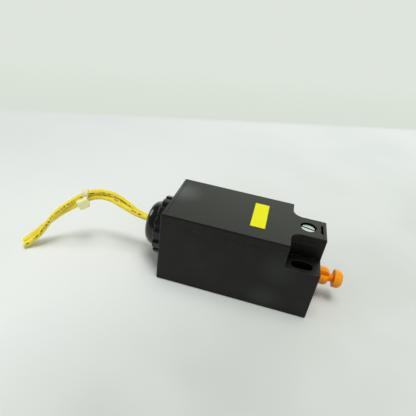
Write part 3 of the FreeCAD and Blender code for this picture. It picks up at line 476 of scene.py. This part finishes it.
tone = case.blend(grain, CASE_DARK, CASE_PALE)
tone = case.blend(smudge, tone, SMUDGE_TONE)
tone = case.blend(case.near(REAR_PATCH, PATCH_REACH), tone, REAR_PATCH_TONE)
tone = case.blend(painted_hollow_shade, tone, HOLLOW_PAINTED_SHADE_TONE)
tone = case.blend(case.times(edge_wear_and_highlight, EDGE_WEAR_AND_HIGHLIGHT_STRENGTH), tone, EDGE_WEAR_AND_HIGHLIGHT_TONE)
case.set("Base Color", case.blend(case.times(dust, DUST_STRENGTH), tone, DUST_TONE))
sheen = case.span(grain, (0.3, 0.7), (0.44, 0.54))
case.set("Roughness", case.plus(sheen, case.times(smudge, SMUDGE_DULLNESS)))
case.relief((grain, 0.012 * MM), (case.noise(scale=900.0, detail=2.0), 0.01 * MM), edge=0.15 * MM)
print("case nodes:", len(case.tree.nodes))

# %% [markdown]
# The gland cap is the same black but polished, as a part that is turned and pressed by hand.
# A glossy dark surface is mostly its reflections, so the colour hardly matters and the finish
# is made of faint wipe marks and fine patches of dust.

# %% Gland finish
GLAND_TONE = (0.008, 0.008, 0.0085)
GLAND_DUST_TONE = (0.03, 0.03, 0.028)

gland = Finish("gland_plastic", Specular_IOR_Level=0.42)
wiped = gland.noise(scale=240.0, detail=4.0, roughness=0.6)
settled = gland.noise(scale=1500.0, detail=3.0, roughness=0.7)
gland_dust = gland.span(settled, (0.58, 0.75), (0.0, 0.35))
gland.set("Base Color", gland.blend(gland_dust, GLAND_TONE, GLAND_DUST_TONE))
gland.set("Roughness", gland.span(wiped, (0.3, 0.75), (0.12, 0.22)))
gland.relief((wiped, 0.006 * MM), (gland.noise(scale=3000.0), 0.001 * MM))
print("gland nodes:", len(gland.tree.nodes))

# %% [markdown]
# The plunger is moulded in orange. Light sinks a little way into such a plastic, which
# subsurface scattering gives. Inner corners and the underside are painted a deeper orange as
# painted shade: ambient occlusion finds the corners and the surface's own direction finds
# the underside, with nothing placed by hand. Flow marks run along the plunger.

# %% Plunger finish
ORANGE_DEEP, ORANGE_PALE = (1.0, 0.32, 0.004), (1.0, 0.40, 0.012)
# Painted shade: the underside is a deeper orange.
UNDERSIDE_PAINTED_SHADE_TONE = (1.0, 0.19, 0.0005)
# Painted shade in the plunger's inner corners.
CORNER_PAINTED_SHADE_TONE = (0.60, 0.07, 0.0005)
FLOW_STRETCH = (1.0, 0.35, 1.0)
CORNER_SHADE_REACH = 2.4 * MM

orange = Finish(
    "plunger_plastic",
    Specular_IOR_Level=0.22,
    Subsurface_Weight=0.15,
    Subsurface_Scale=0.5 * MM,
)
flow_place = orange.vector("MULTIPLY", orange.spot(), FLOW_STRETCH)
flow = orange.noise(scale=170.0, detail=4.0, roughness=0.6, place=flow_place)
upright = orange.parts(orange.normal())["Z"]
# Painted shade: inner corners found by ambient occlusion are darkened.
painted_corner_shade = orange.span(orange.openness(CORNER_SHADE_REACH), (0.25, 0.9), (0.85, 0.0))
body = orange.blend(orange.span(flow, (0.3, 0.7)), ORANGE_DEEP, ORANGE_PALE)
# Painted shade on the side that faces down.
body = orange.blend(orange.span(upright, (-0.7, 0.35), (0.9, 0.0)), body, UNDERSIDE_PAINTED_SHADE_TONE)
orange.set("Base Color", orange.blend(painted_corner_shade, body, CORNER_PAINTED_SHADE_TONE))
orange.set("Roughness", orange.span(flow, (0.3, 0.7), (0.28, 0.4)))
orange.relief((orange.noise(scale=2600.0), 0.006 * MM), (flow, 0.03 * MM), edge=0.2 * MM)
print("plunger nodes:", len(orange.tree.nodes))

# %% [markdown]
# The cover screw is steel with a coat of zinc that has gone dull. Its head was turned, so
# its face has rings about its own axis, and its slot is darkened as painted shade. The rings
# come from the distance to that axis, which a picture could not give at this size.

# %% Zinc finish
ZINC_DULL, ZINC_PALE = (0.36, 0.42, 0.395), (0.50, 0.57, 0.535)
# Painted shade inside the screw's slot.
SLOT_PAINTED_SHADE_TONE = (0.05, 0.055, 0.05)
SLOT_SHADE_REACH = 0.9 * MM
RING_STEP = 0.22 * MM

screw_low, screw_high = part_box("cover_screw")
screw_axis = (screw_low + screw_high) / 2
zinc = Finish("zinc_steel", Metallic=1.0)
from_axis = zinc.vector("SUBTRACT", zinc.spot(), screw_axis)
ring_radius = zinc.vector("LENGTH", zinc.vector("MULTIPLY", from_axis, (1.0, 1.0, 0.0)))
turning = zinc.number("SINE", zinc.times(ring_radius, 2 * math.pi / RING_STEP))
bloom = zinc.noise(scale=700.0, detail=4.0, roughness=0.65)
plated = zinc.blend(zinc.span(bloom, (0.35, 0.7)), ZINC_DULL, ZINC_PALE)
# Painted shade: the slot, found by ambient occlusion, is darkened.
painted_slot_shade = zinc.span(zinc.openness(SLOT_SHADE_REACH), (0.45, 0.85), (0.92, 0.0))
zinc.set("Base Color", zinc.blend(painted_slot_shade, plated, SLOT_PAINTED_SHADE_TONE))
zinc.set("Roughness", zinc.span(bloom, (0.3, 0.7), (0.24, 0.4)))
zinc.relief((turning, 0.0015 * MM), (zinc.noise(scale=1600.0), 0.004 * MM), edge=0.12 * MM)
print("screw head middle:", [round(value / MM, 2) for value in screw_axis])

# %% [markdown]
# The label is a bare strip of yellow tape. Tape is pigment in a thin, nearly matt film: it
# waves slightly over the grain below it, and its cut edges catch dirt. The distance to the
# strip's own border gives the dirty rim.

# %% Label finish
LABEL_DEEP, LABEL_PALE = (0.80, 0.77, 0.012), (0.90, 0.88, 0.022)
RIM_TONE = (0.42, 0.38, 0.03)
RIM_WIDTH = 0.5 * MM
RIM_STRENGTH = 0.55

label_low, label_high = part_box("label")
label_middle = (label_low + label_high) / 2
label_half = (label_high - label_low) / 2
tape = Finish("label_tape", Specular_IOR_Level=0.06)
offset = tape.vector("ABSOLUTE", tape.vector("SUBTRACT", tape.spot(), label_middle))
sides = tape.parts(offset)
rim_x = tape.span(sides["X"], (label_half.x - RIM_WIDTH, label_half.x))
rim_y = tape.span(sides["Y"], (label_half.y - RIM_WIDTH, label_half.y))
patchy = tape.span(tape.noise(scale=900.0, detail=3.0), (0.35, 0.65))
rim = tape.times(tape.times(tape.larger(rim_x, rim_y), patchy), RIM_STRENGTH)
pigment = tape.blend(tape.noise(scale=380.0, detail=4.0, roughness=0.6), LABEL_DEEP, LABEL_PALE)
tape.set("Base Color", tape.blend(rim, pigment, RIM_TONE))
tape.set("Roughness", tape.span(tape.noise(scale=260.0), (0.3, 0.7), (0.38, 0.5)))
tape.relief((tape.noise(scale=520.0), 0.02 * MM))
print("label in mm:", [round(2 * value / MM, 2) for value in label_half])

# %% [markdown]
# The wires are yellow plastic with a soft gloss, rubbed and a little grimy. Each carries a
# broken row of dark dashes. A bevelled curve has its own map, one way along the wire and the
# other way round it, so the dashes follow every bend without being drawn one by one. A row
# turns slowly round its wire, as the wire was twisted when it was bent. Fine noise makes the
# strokes, coarse noise parts them into groups, and a band keeps them in the row.

# %% Dashes on a wire
DASH_TONE = (0.07, 0.04, 0.012)
DASH_STRENGTH = 0.88
STROKE_SCALE = 860.0
GROUP_SCALE = 190.0
ROUND_SIZE = 5.0 * MM
ROW_EDGE = (0.035, 0.06)
HALF_TURN = 0.5


def dashes(wire, length, row_turn):
    mapped = wire.parts(wire.coordinates.outputs["UV"])
    unrolled = [("X", wire.times(mapped["X"], length)), ("Y", wire.times(mapped["Y"], ROUND_SIZE))]
    place = wire.add("CombineXYZ", unrolled).outputs[0]
    strokes = wire.span(wire.noise(scale=STROKE_SCALE, detail=1.0, place=place), (0.46, 0.52))
    groups = wire.span(wire.noise(scale=GROUP_SCALE, detail=0.0, place=place), (0.40, 0.46))
    row_middle = wire.span(mapped["X"], (0.0, 1.0), row_turn)
    from_row = wire.number("SUBTRACT", mapped["Y"], row_middle)
    wrapped = wire.number("FRACT", wire.plus(from_row, 1.0 + HALF_TURN))
    aside = wire.number("ABSOLUTE", wire.number("SUBTRACT", wrapped, HALF_TURN))
    row = wire.span(aside, ROW_EDGE, (1.0, 0.0))
    return wire.times(wire.times(wire.times(strokes, groups), row), DASH_STRENGTH)


print("dash strokes per mm:", STROKE_SCALE * MM)

# %% [markdown]
# One function then makes the yellow of all wires. The leads behind the gland are solids
# without a map along them, so they get the same yellow with no dashes. A little subsurface
# scattering keeps the shaded side of a wire warm.

# %% Wire finish
WIRE_DEEP, WIRE_PALE = (0.90, 0.71, 0.035), (0.96, 0.81, 0.075)
GRIME_TONE = (0.52, 0.40, 0.03)
UPPER_ROW_TURN = (-0.05, 0.01)
LOWER_ROW_TURN = (0.09, 0.42)


def wire_finish(name, length=0.0, row_turn=None):
    wire = Finish(
        name, Specular_IOR_Level=0.28, Subsurface_Weight=0.3, Subsurface_Scale=0.9 * MM
    )
    worn_share = wire.span(wire.noise(scale=260.0, detail=4.0, roughness=0.62), (0.35, 0.7))
    grime = wire.span(wire.noise(scale=700.0, detail=4.0, roughness=0.7), (0.6, 0.78), (0.0, 0.2))
    colour = wire.blend(worn_share, WIRE_DEEP, WIRE_PALE)
    colour = wire.blend(grime, colour, GRIME_TONE)
    if row_turn is not None:
        colour = wire.blend(dashes(wire, length, row_turn), colour, DASH_TONE)
    wire.set("Base Color", colour)
    wire.set("Roughness", wire.span(wire.noise(scale=420.0, detail=3.0), (0.3, 0.7), (0.32, 0.46)))
    wire.relief((wire.noise(scale=300.0), 0.04 * MM), (wire.noise(scale=2400.0), 0.004 * MM))
    return wire.material


wire_dressed = {
    "wire_1": wire_finish("upper_wire_insulation", wire_lengths["wire_1"], UPPER_ROW_TURN),
    "wire_2": wire_finish("lower_wire_insulation", wire_lengths["wire_2"], LOWER_ROW_TURN),
}
wire_plain = wire_finish("wire_insulation")
print("wire finishes:", [finish.name for finish in wire_dressed.values()], wire_plain.name)

# %% [markdown]
# The pieces behind the cover get their own finishes too: rubber seals, natural and grey
# plastics, brass contacts, copper ends and drawn spring wire. They share one recipe, a base
# tone with a second tone in patches, a range of roughness and a fine relief, and differ in
# the numbers, so one function makes them all.

# %% Finishes of the inner pieces
INNER_EDGE = 0.12 * MM


def inner_finish(name, tones, patch_scale, roughness, grain_scale, grain_depth, **constants):
    inner = Finish(name, **constants)
    patches = inner.noise(scale=patch_scale, detail=4.0, roughness=0.6)
    inner.set("Base Color", inner.blend(inner.span(patches, (0.32, 0.7)), *tones))
    inner.set("Roughness", inner.span(patches, (0.3, 0.7), roughness))
    inner.relief((inner.noise(scale=grain_scale), grain_depth), edge=INNER_EDGE)
    print(name, "nodes:", len(inner.tree.nodes))
    return inner.material


rubber = inner_finish(
    "seal_rubber",
    tones=((0.016, 0.016, 0.016), (0.035, 0.034, 0.032)),
    patch_scale=300.0,
    roughness=(0.6, 0.8),
    grain_scale=3000.0,
    grain_depth=0.01 * MM,
)
natural = inner_finish(
    "bush_plastic",
    tones=((0.62, 0.60, 0.54), (0.76, 0.75, 0.70)),
    patch_scale=180.0,
    roughness=(0.38, 0.52),
    grain_scale=2500.0,
    grain_depth=0.006 * MM,
)
grey_block = inner_finish(
    "block_plastic",
    tones=((0.34, 0.325, 0.27), (0.45, 0.43, 0.37)),
    patch_scale=150.0,
    roughness=(0.45, 0.6),
    grain_scale=3500.0,
    grain_depth=0.01 * MM,
)
brass = inner_finish(
    "contact_brass",
    tones=((0.66, 0.46, 0.17), (0.82, 0.64, 0.31)),
    patch_scale=400.0,
    roughness=(0.25, 0.42),
    grain_scale=2600.0,
    grain_depth=0.006 * MM,
    Metallic=1.0,
)
copper = inner_finish(
    "copper",
    tones=((0.70, 0.33, 0.18), (0.86, 0.48, 0.31)),
    patch_scale=900.0,
    roughness=(0.25, 0.4),
    grain_scale=4000.0,
    grain_depth=0.008 * MM,
    Metallic=1.0,
)
spring_wire = inner_finish(
    "spring_steel",
    tones=((0.45, 0.45, 0.46), (0.64, 0.64, 0.64)),
    patch_scale=800.0,
    roughness=(0.22, 0.36),
    grain_scale=5000.0,
    grain_depth=0.004 * MM,
    Metallic=1.0,
)

# %% [markdown]
# Every CAD piece already knows its material slot from the record, so a table of slot to
# finish dresses the whole switch in one loop. The meshes stay as they were packed. The CAD
# tie is replaced further on and has no finish of its own here, so it gets the plain yellow.

# %% Dress the CAD pieces
FINISHES = {
    "case_plastic": case.material,
    "gland_plastic": gland.material,
    "plunger_plastic": orange.material,
    "zinc_steel": zinc.material,
    "label_tape": tape.material,
    "wire_insulation": wire_plain,
    "seal_rubber": rubber,
    "bush_plastic": natural,
    "block_plastic": grey_block,
    "contact_brass": brass,
    "copper": copper,
    "spring_steel": spring_wire,
}
for subpart in frame["record"]["subparts"]:
    piece = frame["nodes"][subpart["node"]]
    piece.data.materials.clear()
    piece.data.materials.append(FINISHES.get(subpart["material_slot"], wire_plain))

# %% [markdown]
# The copper strands, the tie's loop and the springs are all made in the same way: rings of
# points are laid out one after the other and joined by four sided faces. Two helpers take
# up what repeats, the joining and the turning of a finished shape into a smooth piece.


# %% Helpers for swept shapes
def join_rings(shape, rings):
    for ring, after in zip(rings, rings[1:]):
        for side in range(len(ring)):
            beside = (side + 1) % len(ring)
            shape.faces.new((ring[side], ring[beside], after[beside], after[side]))


def finished_mesh(name, shape, material):
    bmesh.ops.recalc_face_normals(shape, faces=shape.faces)
    mesh = bpy.data.meshes.new(name)
    shape.to_mesh(mesh)
    shape.free()
    for face in mesh.polygons:
        face.use_smooth = True
    mesh.materials.append(material)
    piece = bpy.data.objects.new(name, mesh)
    scene.collection.objects.link(piece)
    print(name, "faces:", len(mesh.polygons))
    return piece


print("swept shape helpers:", join_rings.__name__, finished_mesh.__name__)

# %% [markdown]
# The cut end of a wire shows its copper: a bundle of fine strands in the yellow ring. Each
# strand is a short rod with a rounded tip, laid in rings of one, six and twelve, and set a
# hair proud of the plastic. One plain disc would look like a painted dot from close by.

# %% Copper ends
STRAND_RADIUS = 0.13 * MM
STRAND_SIDES = 8
STRAND_RINGS = ((1, 6), (2, 12))
STRAND_LEVELS = ((-0.4, 1.0), (0.02, 1.0), (0.06, 0.8), (0.075, 0.4))
STRAND_UNEVEN = 0.02 * MM
UNEVEN_STEP = 2.4


def strand_places():
    places = [(0.0, 0.0)]
    for ring, count in STRAND_RINGS:
        away = 2 * ring * STRAND_RADIUS
        for number in range(count):
            angle = 2 * math.pi * number / count
            places.append((away * math.cos(angle), away * math.sin(angle)))
    return places


def strand_ring(shape, end_frame, middle, radius):
    ring = []
    for side in range(STRAND_SIDES):
        angle = 2 * math.pi * side / STRAND_SIDES
        outward = Vector((math.cos(angle), math.sin(angle), 0.0))
        ring.append(shape.verts.new(end_frame @ (middle + outward * radius)))
    return ring


def copper_end(name, tip, ahead):
    shape = bmesh.new()
    end_frame = Matrix.Translation(tip) @ ahead.to_track_quat("Z", "Y").to_matrix().to_4x4()
    for number, (x, y) in enumerate(strand_places()):
        lift = STRAND_UNEVEN * math.sin(UNEVEN_STEP * number)
        rings = []
        for height, share in STRAND_LEVELS:
            middle = Vector((x, y, height * MM + lift))
            rings.append(strand_ring(shape, end_frame, middle, STRAND_RADIUS * share))
        join_rings(shape, rings)
        shape.faces.new(rings[-1])
        shape.faces.new(rings[0][::-1])
    return finished_mesh(name, shape, copper)


for node_name, points in wire_points.items():
    ahead = (points[-1] - points[-2]).normalized()
    end = copper_end(f"copper_end_{node_name}", points[-1], ahead)
    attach(end, "switch_body")

# %% [markdown]
# The cable tie is natural nylon. It lets light through, so its thick head looks creamy and
# its thin strip, which holds less light back, a little duller. Ambient occlusion that looks
# into the piece instead of out of it tells thick from thin.

# %% Tie finish
CREAM_AGED, CREAM_NEW = (1.0, 0.93, 0.43), (1.0, 0.965, 0.55)
THIN_TONE = (0.86, 0.82, 0.52)
THICK_REACH = 2.4 * MM

nylon = Finish(
    "tie_nylon",
    Specular_IOR_Level=0.3,
    Subsurface_Weight=0.6,
    Subsurface_Scale=1.2 * MM,
    Subsurface_Radius=(1.0, 0.9, 0.6),
)
aged = nylon.noise(scale=210.0, detail=3.0, roughness=0.6)
creamy = nylon.blend(nylon.span(aged, (0.3, 0.7)), CREAM_AGED, CREAM_NEW)
thick = nylon.span(nylon.openness(THICK_REACH, inside=True), (0.1, 0.6))
nylon.set("Base Color", nylon.blend(thick, THIN_TONE, creamy))
nylon.set("Roughness", nylon.span(aged, (0.3, 0.7), (0.3, 0.45)))
nylon.relief((nylon.noise(scale=1800.0), 0.006 * MM), (aged, 0.03 * MM))
print("tie nodes:", len(nylon.tree.nodes))

# %% [markdown]
# The loop of the tie hugs both wires. Its place and direction come from the wires' own
# curves, so it stays with them if their run is changed, and it is then turned, because a tie
# that is drawn by hand settles at a slant. A slanted loop must be a little longer to go
# round the same wires.

# %% Place of the tie
TIE_SPOT = Vector((4.28, -85.6, 27.41)) * MM
TIE_SLANT = math.radians(24)
TIE_ROOM = 0.2 * MM
TIE_INNER = WIRE_THICKNESS / 2 + TIE_ROOM
TIE_THICKNESS = 1.1 * MM
TIE_WIDTH = 2.8 * MM

over, under = (wire_points[name] for name in ("wire_1", "wire_2"))
pair_line = [(high + low) / 2 for high, low in zip(over, under)]
at = min(range(1, len(pair_line) - 1), key=lambda step: (pair_line[step] - TIE_SPOT).length)
tie_along = (pair_line[at + 1] - pair_line[at - 1]).normalized()
tie_up = (over[at] - under[at]) / 2
tie_up -= tie_along * tie_up.dot(tie_along)
pair_half = (tie_up.length + WIRE_THICKNESS / 2) / math.cos(TIE_SLANT)
inner_half = pair_half + TIE_WIDTH / 2 * math.tan(TIE_SLANT) + TIE_ROOM
straight_half = inner_half - TIE_INNER
tie_up.normalize()
tie_out = tie_along.cross(tie_up)
slanted = Matrix.Rotation(TIE_SLANT, 3, tie_out)
tie_axes = Matrix((slanted @ tie_up, tie_out, slanted @ tie_along)).transposed()
tie_frame = Matrix.Translation(pair_line[at]) @ tie_axes.to_4x4()
print("tie is off its CAD place by mm:", round((pair_line[at] - TIE_SPOT).length / MM, 2))

# %% [markdown]
# The strip has cut corners and a shallow groove along its outer face, as such strips are
# moulded. This section is swept round a stadium: two half circles and the straights between
# them. A torus would not fit two wires that lie side by side.

# %% Tie loop
LOOP_STEPS = 18
INNER_CUT = (0.25 * MM, 0.28 * MM)
OUTER_CUT = 0.2 * MM
GROOVE_START = 0.75 * MM
GROOVE_FLOOR = 0.95 * MM
GROOVE_DEPTH = 0.16 * MM


def strip_section():
    half = TIE_WIDTH / 2
    one_side = [
        (0.0, half - INNER_CUT[1]),
        (INNER_CUT[0], half),
        (TIE_THICKNESS - OUTER_CUT, half),
        (TIE_THICKNESS, half - OUTER_CUT),
        (TIE_THICKNESS, half - GROOVE_START),
        (TIE_THICKNESS - GROOVE_DEPTH, half - GROOVE_FLOOR),
    ]
    return one_side + [(height, -across) for height, across in reversed(one_side)]


def tie_loop(shape):
    rings = []
    for end, start in ((1, -90.0), (-1, 90.0)):
        for step in range(LOOP_STEPS + 1):
            angle = math.radians(start + 180.0 * step / LOOP_STEPS)
            away = Vector((math.cos(angle), math.sin(angle), 0.0))
            ring = []
            for height, across in strip_section():
                spot = Vector((end * straight_half, 0.0, across)) + away * (TIE_INNER + height)
                ring.append(shape.verts.new(tie_frame @ spot))
            rings.append(ring)
    join_rings(shape, rings + rings[:1])


print("strip corners:", len(strip_section()), "room in mm:", round(2 * inner_half / MM, 2))

# %% [markdown]
# The head is a block with rounded corners and a window in the end where the strip comes
# through. The strip's cut tail stands out of that window, with the fine steps that the pawl
# catches. Bevelling the block first and then pushing the window in keeps the window crisp.
# The head lies flat along the wires, so it is turned back by the slant of the loop.

# %% Place of the tie's head
HEAD_LENGTH = 5.2 * MM
HEAD_HEIGHT = 4.0 * MM
HEAD_WIDTH = 5.8 * MM
HEAD_LIFT = 0.35 * MM
HEAD_RISE = 0.7 * MM
HEAD_ASIDE = 1.2 * MM

head_start = HEAD_RISE - inner_half - TIE_THICKNESS
head_end = head_start + HEAD_LENGTH
head_low = Vector((head_start, -TIE_INNER - HEAD_HEIGHT, HEAD_ASIDE - HEAD_WIDTH / 2))
head_high = Vector((head_end, -TIE_INNER - HEAD_LIFT, HEAD_ASIDE + HEAD_WIDTH / 2))
head_middle = Matrix.Translation((head_low + head_high) / 2)
turned_back = Matrix.Rotation(-TIE_SLANT, 4, "Y")
head_frame = tie_frame @ head_middle @ turned_back @ head_middle.inverted()
print("tie head in mm:", [round(value / MM, 2) for value in head_high - head_low])

# %% [markdown]
# Three small functions make such a block, push a window into one of its faces and add it to
# the shape of the tie. Modifiers could do the same, but they would leave objects to apply.


# %% Blocks with rounded corners
def rounded_block(low, high, rounding, segments):
    block = bmesh.new()
    bmesh.ops.create_cube(block, size=1.0)
    for vertex in block.verts:
        share = [vertex.co[axis] + 0.5 for axis in range(3)]
        vertex.co = [low[axis] + (high[axis] - low[axis]) * share[axis] for axis in range(3)]
    bmesh.ops.bevel(
        block,
        geom=block.edges[:],
        offset=rounding,
        segments=segments,
        profile=0.5,
        affect="EDGES",
    )
    block.normal_update()
    return block


def push_window(block, facing, inset, depth):
    block.faces.ensure_lookup_table()
    face = max(block.faces, key=lambda one: one.normal.dot(facing) * one.calc_area())
    bmesh.ops.inset_region(block, faces=[face], thickness=inset, use_even_offset=True)
    pushed = bmesh.ops.extrude_face_region(block, geom=[face])["geom"]
    moved = [item for item in pushed if isinstance(item, bmesh.types.BMVert)]
    bmesh.ops.delete(block, geom=[face], context="FACES")
    bmesh.ops.translate(block, verts=moved, vec=-facing * depth)
    block.normal_update()


def merge(shape, block):
    block.transform(head_frame)
    added = bpy.data.meshes.new("tie_block")
    block.to_mesh(added)
    block.free()
    shape.from_mesh(added)
    bpy.data.meshes.remove(added)


print("block helpers:", rounded_block.__name__, push_window.__name__, merge.__name__)

# %% [markdown]
# With them the head gets a deep window where the tail comes out and a shallow one at its
# other end. The tail is four short steps, each overlapping the one before.

# %% Tie
HEAD_ROUNDING = 0.7 * MM
WINDOW_INSET = 0.45 * MM
OUT_DEPTH = 1.2 * MM
IN_DEPTH = 0.5 * MM
TAIL_STEPS = 4
TAIL_STEP = 0.42 * MM
TAIL_STEP_LENGTH = 0.5 * MM
TAIL_HALF = 0.42 * MM
TAIL_ROUNDING = 0.1 * MM
SHARP_ANGLE = math.radians(40)


def tie_head(shape):
    head = rounded_block(head_low, head_high, HEAD_ROUNDING, segments=4)
    push_window(head, Vector((-1.0, 0.0, 0.0)), WINDOW_INSET, OUT_DEPTH)
    push_window(head, Vector((1.0, 0.0, 0.0)), WINDOW_INSET, IN_DEPTH)
    merge(shape, head)


def tie_tail(shape):
    middle = -TIE_INNER - HEAD_HEIGHT / 2
    for step in range(TAIL_STEPS):
        start = head_start - TAIL_STEP_LENGTH + TAIL_STEP * step
        low = Vector((start, middle - TAIL_HALF, HEAD_ASIDE - TIE_WIDTH / 2))
        high = Vector((start + TAIL_STEP_LENGTH, middle + TAIL_HALF, HEAD_ASIDE + TIE_WIDTH / 2))
        merge(shape, rounded_block(low, high, TAIL_ROUNDING, segments=2))


tie_shape = bmesh.new()
tie_loop(tie_shape)
tie_head(tie_shape)
tie_tail(tie_shape)
tie = finished_mesh("nylon_tie", tie_shape, nylon.material)
tie.data.set_sharp_from_angle(angle=SHARP_ANGLE)
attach(tie, "switch_body")
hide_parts("cable_tie")

# %% [markdown]
# Now each wire gets its finish and joins the switch's body, and its CAD node is hidden.
# Each wire has its own copper end.

for node_name, wire in wires.items():
    wire.data.materials.append(wire_dressed[node_name])
    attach(wire, "switch_body")
    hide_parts(node_name)
    far_end = [round(value / MM, 1) for value in wire_points[node_name][-1]]
    print(wire.name, "declared, ends at", far_end)

# %% [markdown]
# Inside, three coil springs work the contacts. The CAD springs are six sided bars in short
# straight steps, enough for a size but not for a close look. Here each is a round wire swept
# along a helix whose end turns lie closed, as springs are wound. The size of each comes from
# the box of its CAD node.

# %% Spring coils
STEPS_PER_TURN = 28
COIL_SIDES = 10


def coil_heights(first, last, thickness, turns, closed):
    steps = turns * STEPS_PER_TURN
    flat_share = closed / turns
    closed_rise = thickness * closed
    for step in range(steps + 1):
        share = step / steps
        climb = min(max((share - flat_share) / (1 - 2 * flat_share), 0.0), 1.0)
        low_end = first + min(share / flat_share, 1.0) * closed_rise
        high_end = last - min((1 - share) / flat_share, 1.0) * closed_rise
        yield 2 * math.pi * turns * share, low_end + (high_end - low_end) * climb


def coil(name, node_name, thickness, turns, closed):
    low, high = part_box(node_name)
    middle = (low + high) / 2
    radius = (high.x - low.x - thickness) / 2
    first, last = low.y + thickness / 2, high.y - thickness / 2
    shape = bmesh.new()
    rings = []
    for angle, height in coil_heights(first, last, thickness, turns, closed):
        outward = Vector((math.cos(angle), 0.0, math.sin(angle)))
        centre = Vector((middle.x, height, middle.z)) + outward * radius
        ring = []
        for side in range(COIL_SIDES):
            turn = 2 * math.pi * side / COIL_SIDES
            lift = Vector((0.0, math.sin(turn), 0.0)) + outward * math.cos(turn)
            ring.append(shape.verts.new(centre + lift * (thickness / 2)))
        rings.append(ring)
    join_rings(shape, rings)
    shape.faces.new(rings[0])
    shape.faces.new(rings[-1][::-1])
    spring = finished_mesh(name, shape, spring_wire)
    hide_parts(node_name)
    print(name, "turns:", turns, "length in mm:", round((high.y - low.y) / MM, 2))
    return spring


print("points in one turn of a coil:", STEPS_PER_TURN * COIL_SIDES)

# %% [markdown]
# The two contact springs ride along with the plunger. The return spring stays with the case
# and gets a mesh of its own; the real one shortens when the plunger goes in.

# %% Springs
CONTACT_SPRINGS = {"break_contact_spring": "nc_spring", "make_contact_spring": "no_spring"}
CONTACT_COIL = {"thickness": 0.4 * MM, "turns": 3, "closed": 0.75}
RETURN_COIL = {"thickness": 0.6 * MM, "turns": 6, "closed": 1.0}

for name, node_name in CONTACT_SPRINGS.items():
    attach(coil(name, node_name, **CONTACT_COIL), "plunger_set")
return_coil = coil("plunger_return_spring", "return_spring", **RETURN_COIL)
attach(return_coil, "switch_body")
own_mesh(return_coil)

# %% [markdown]
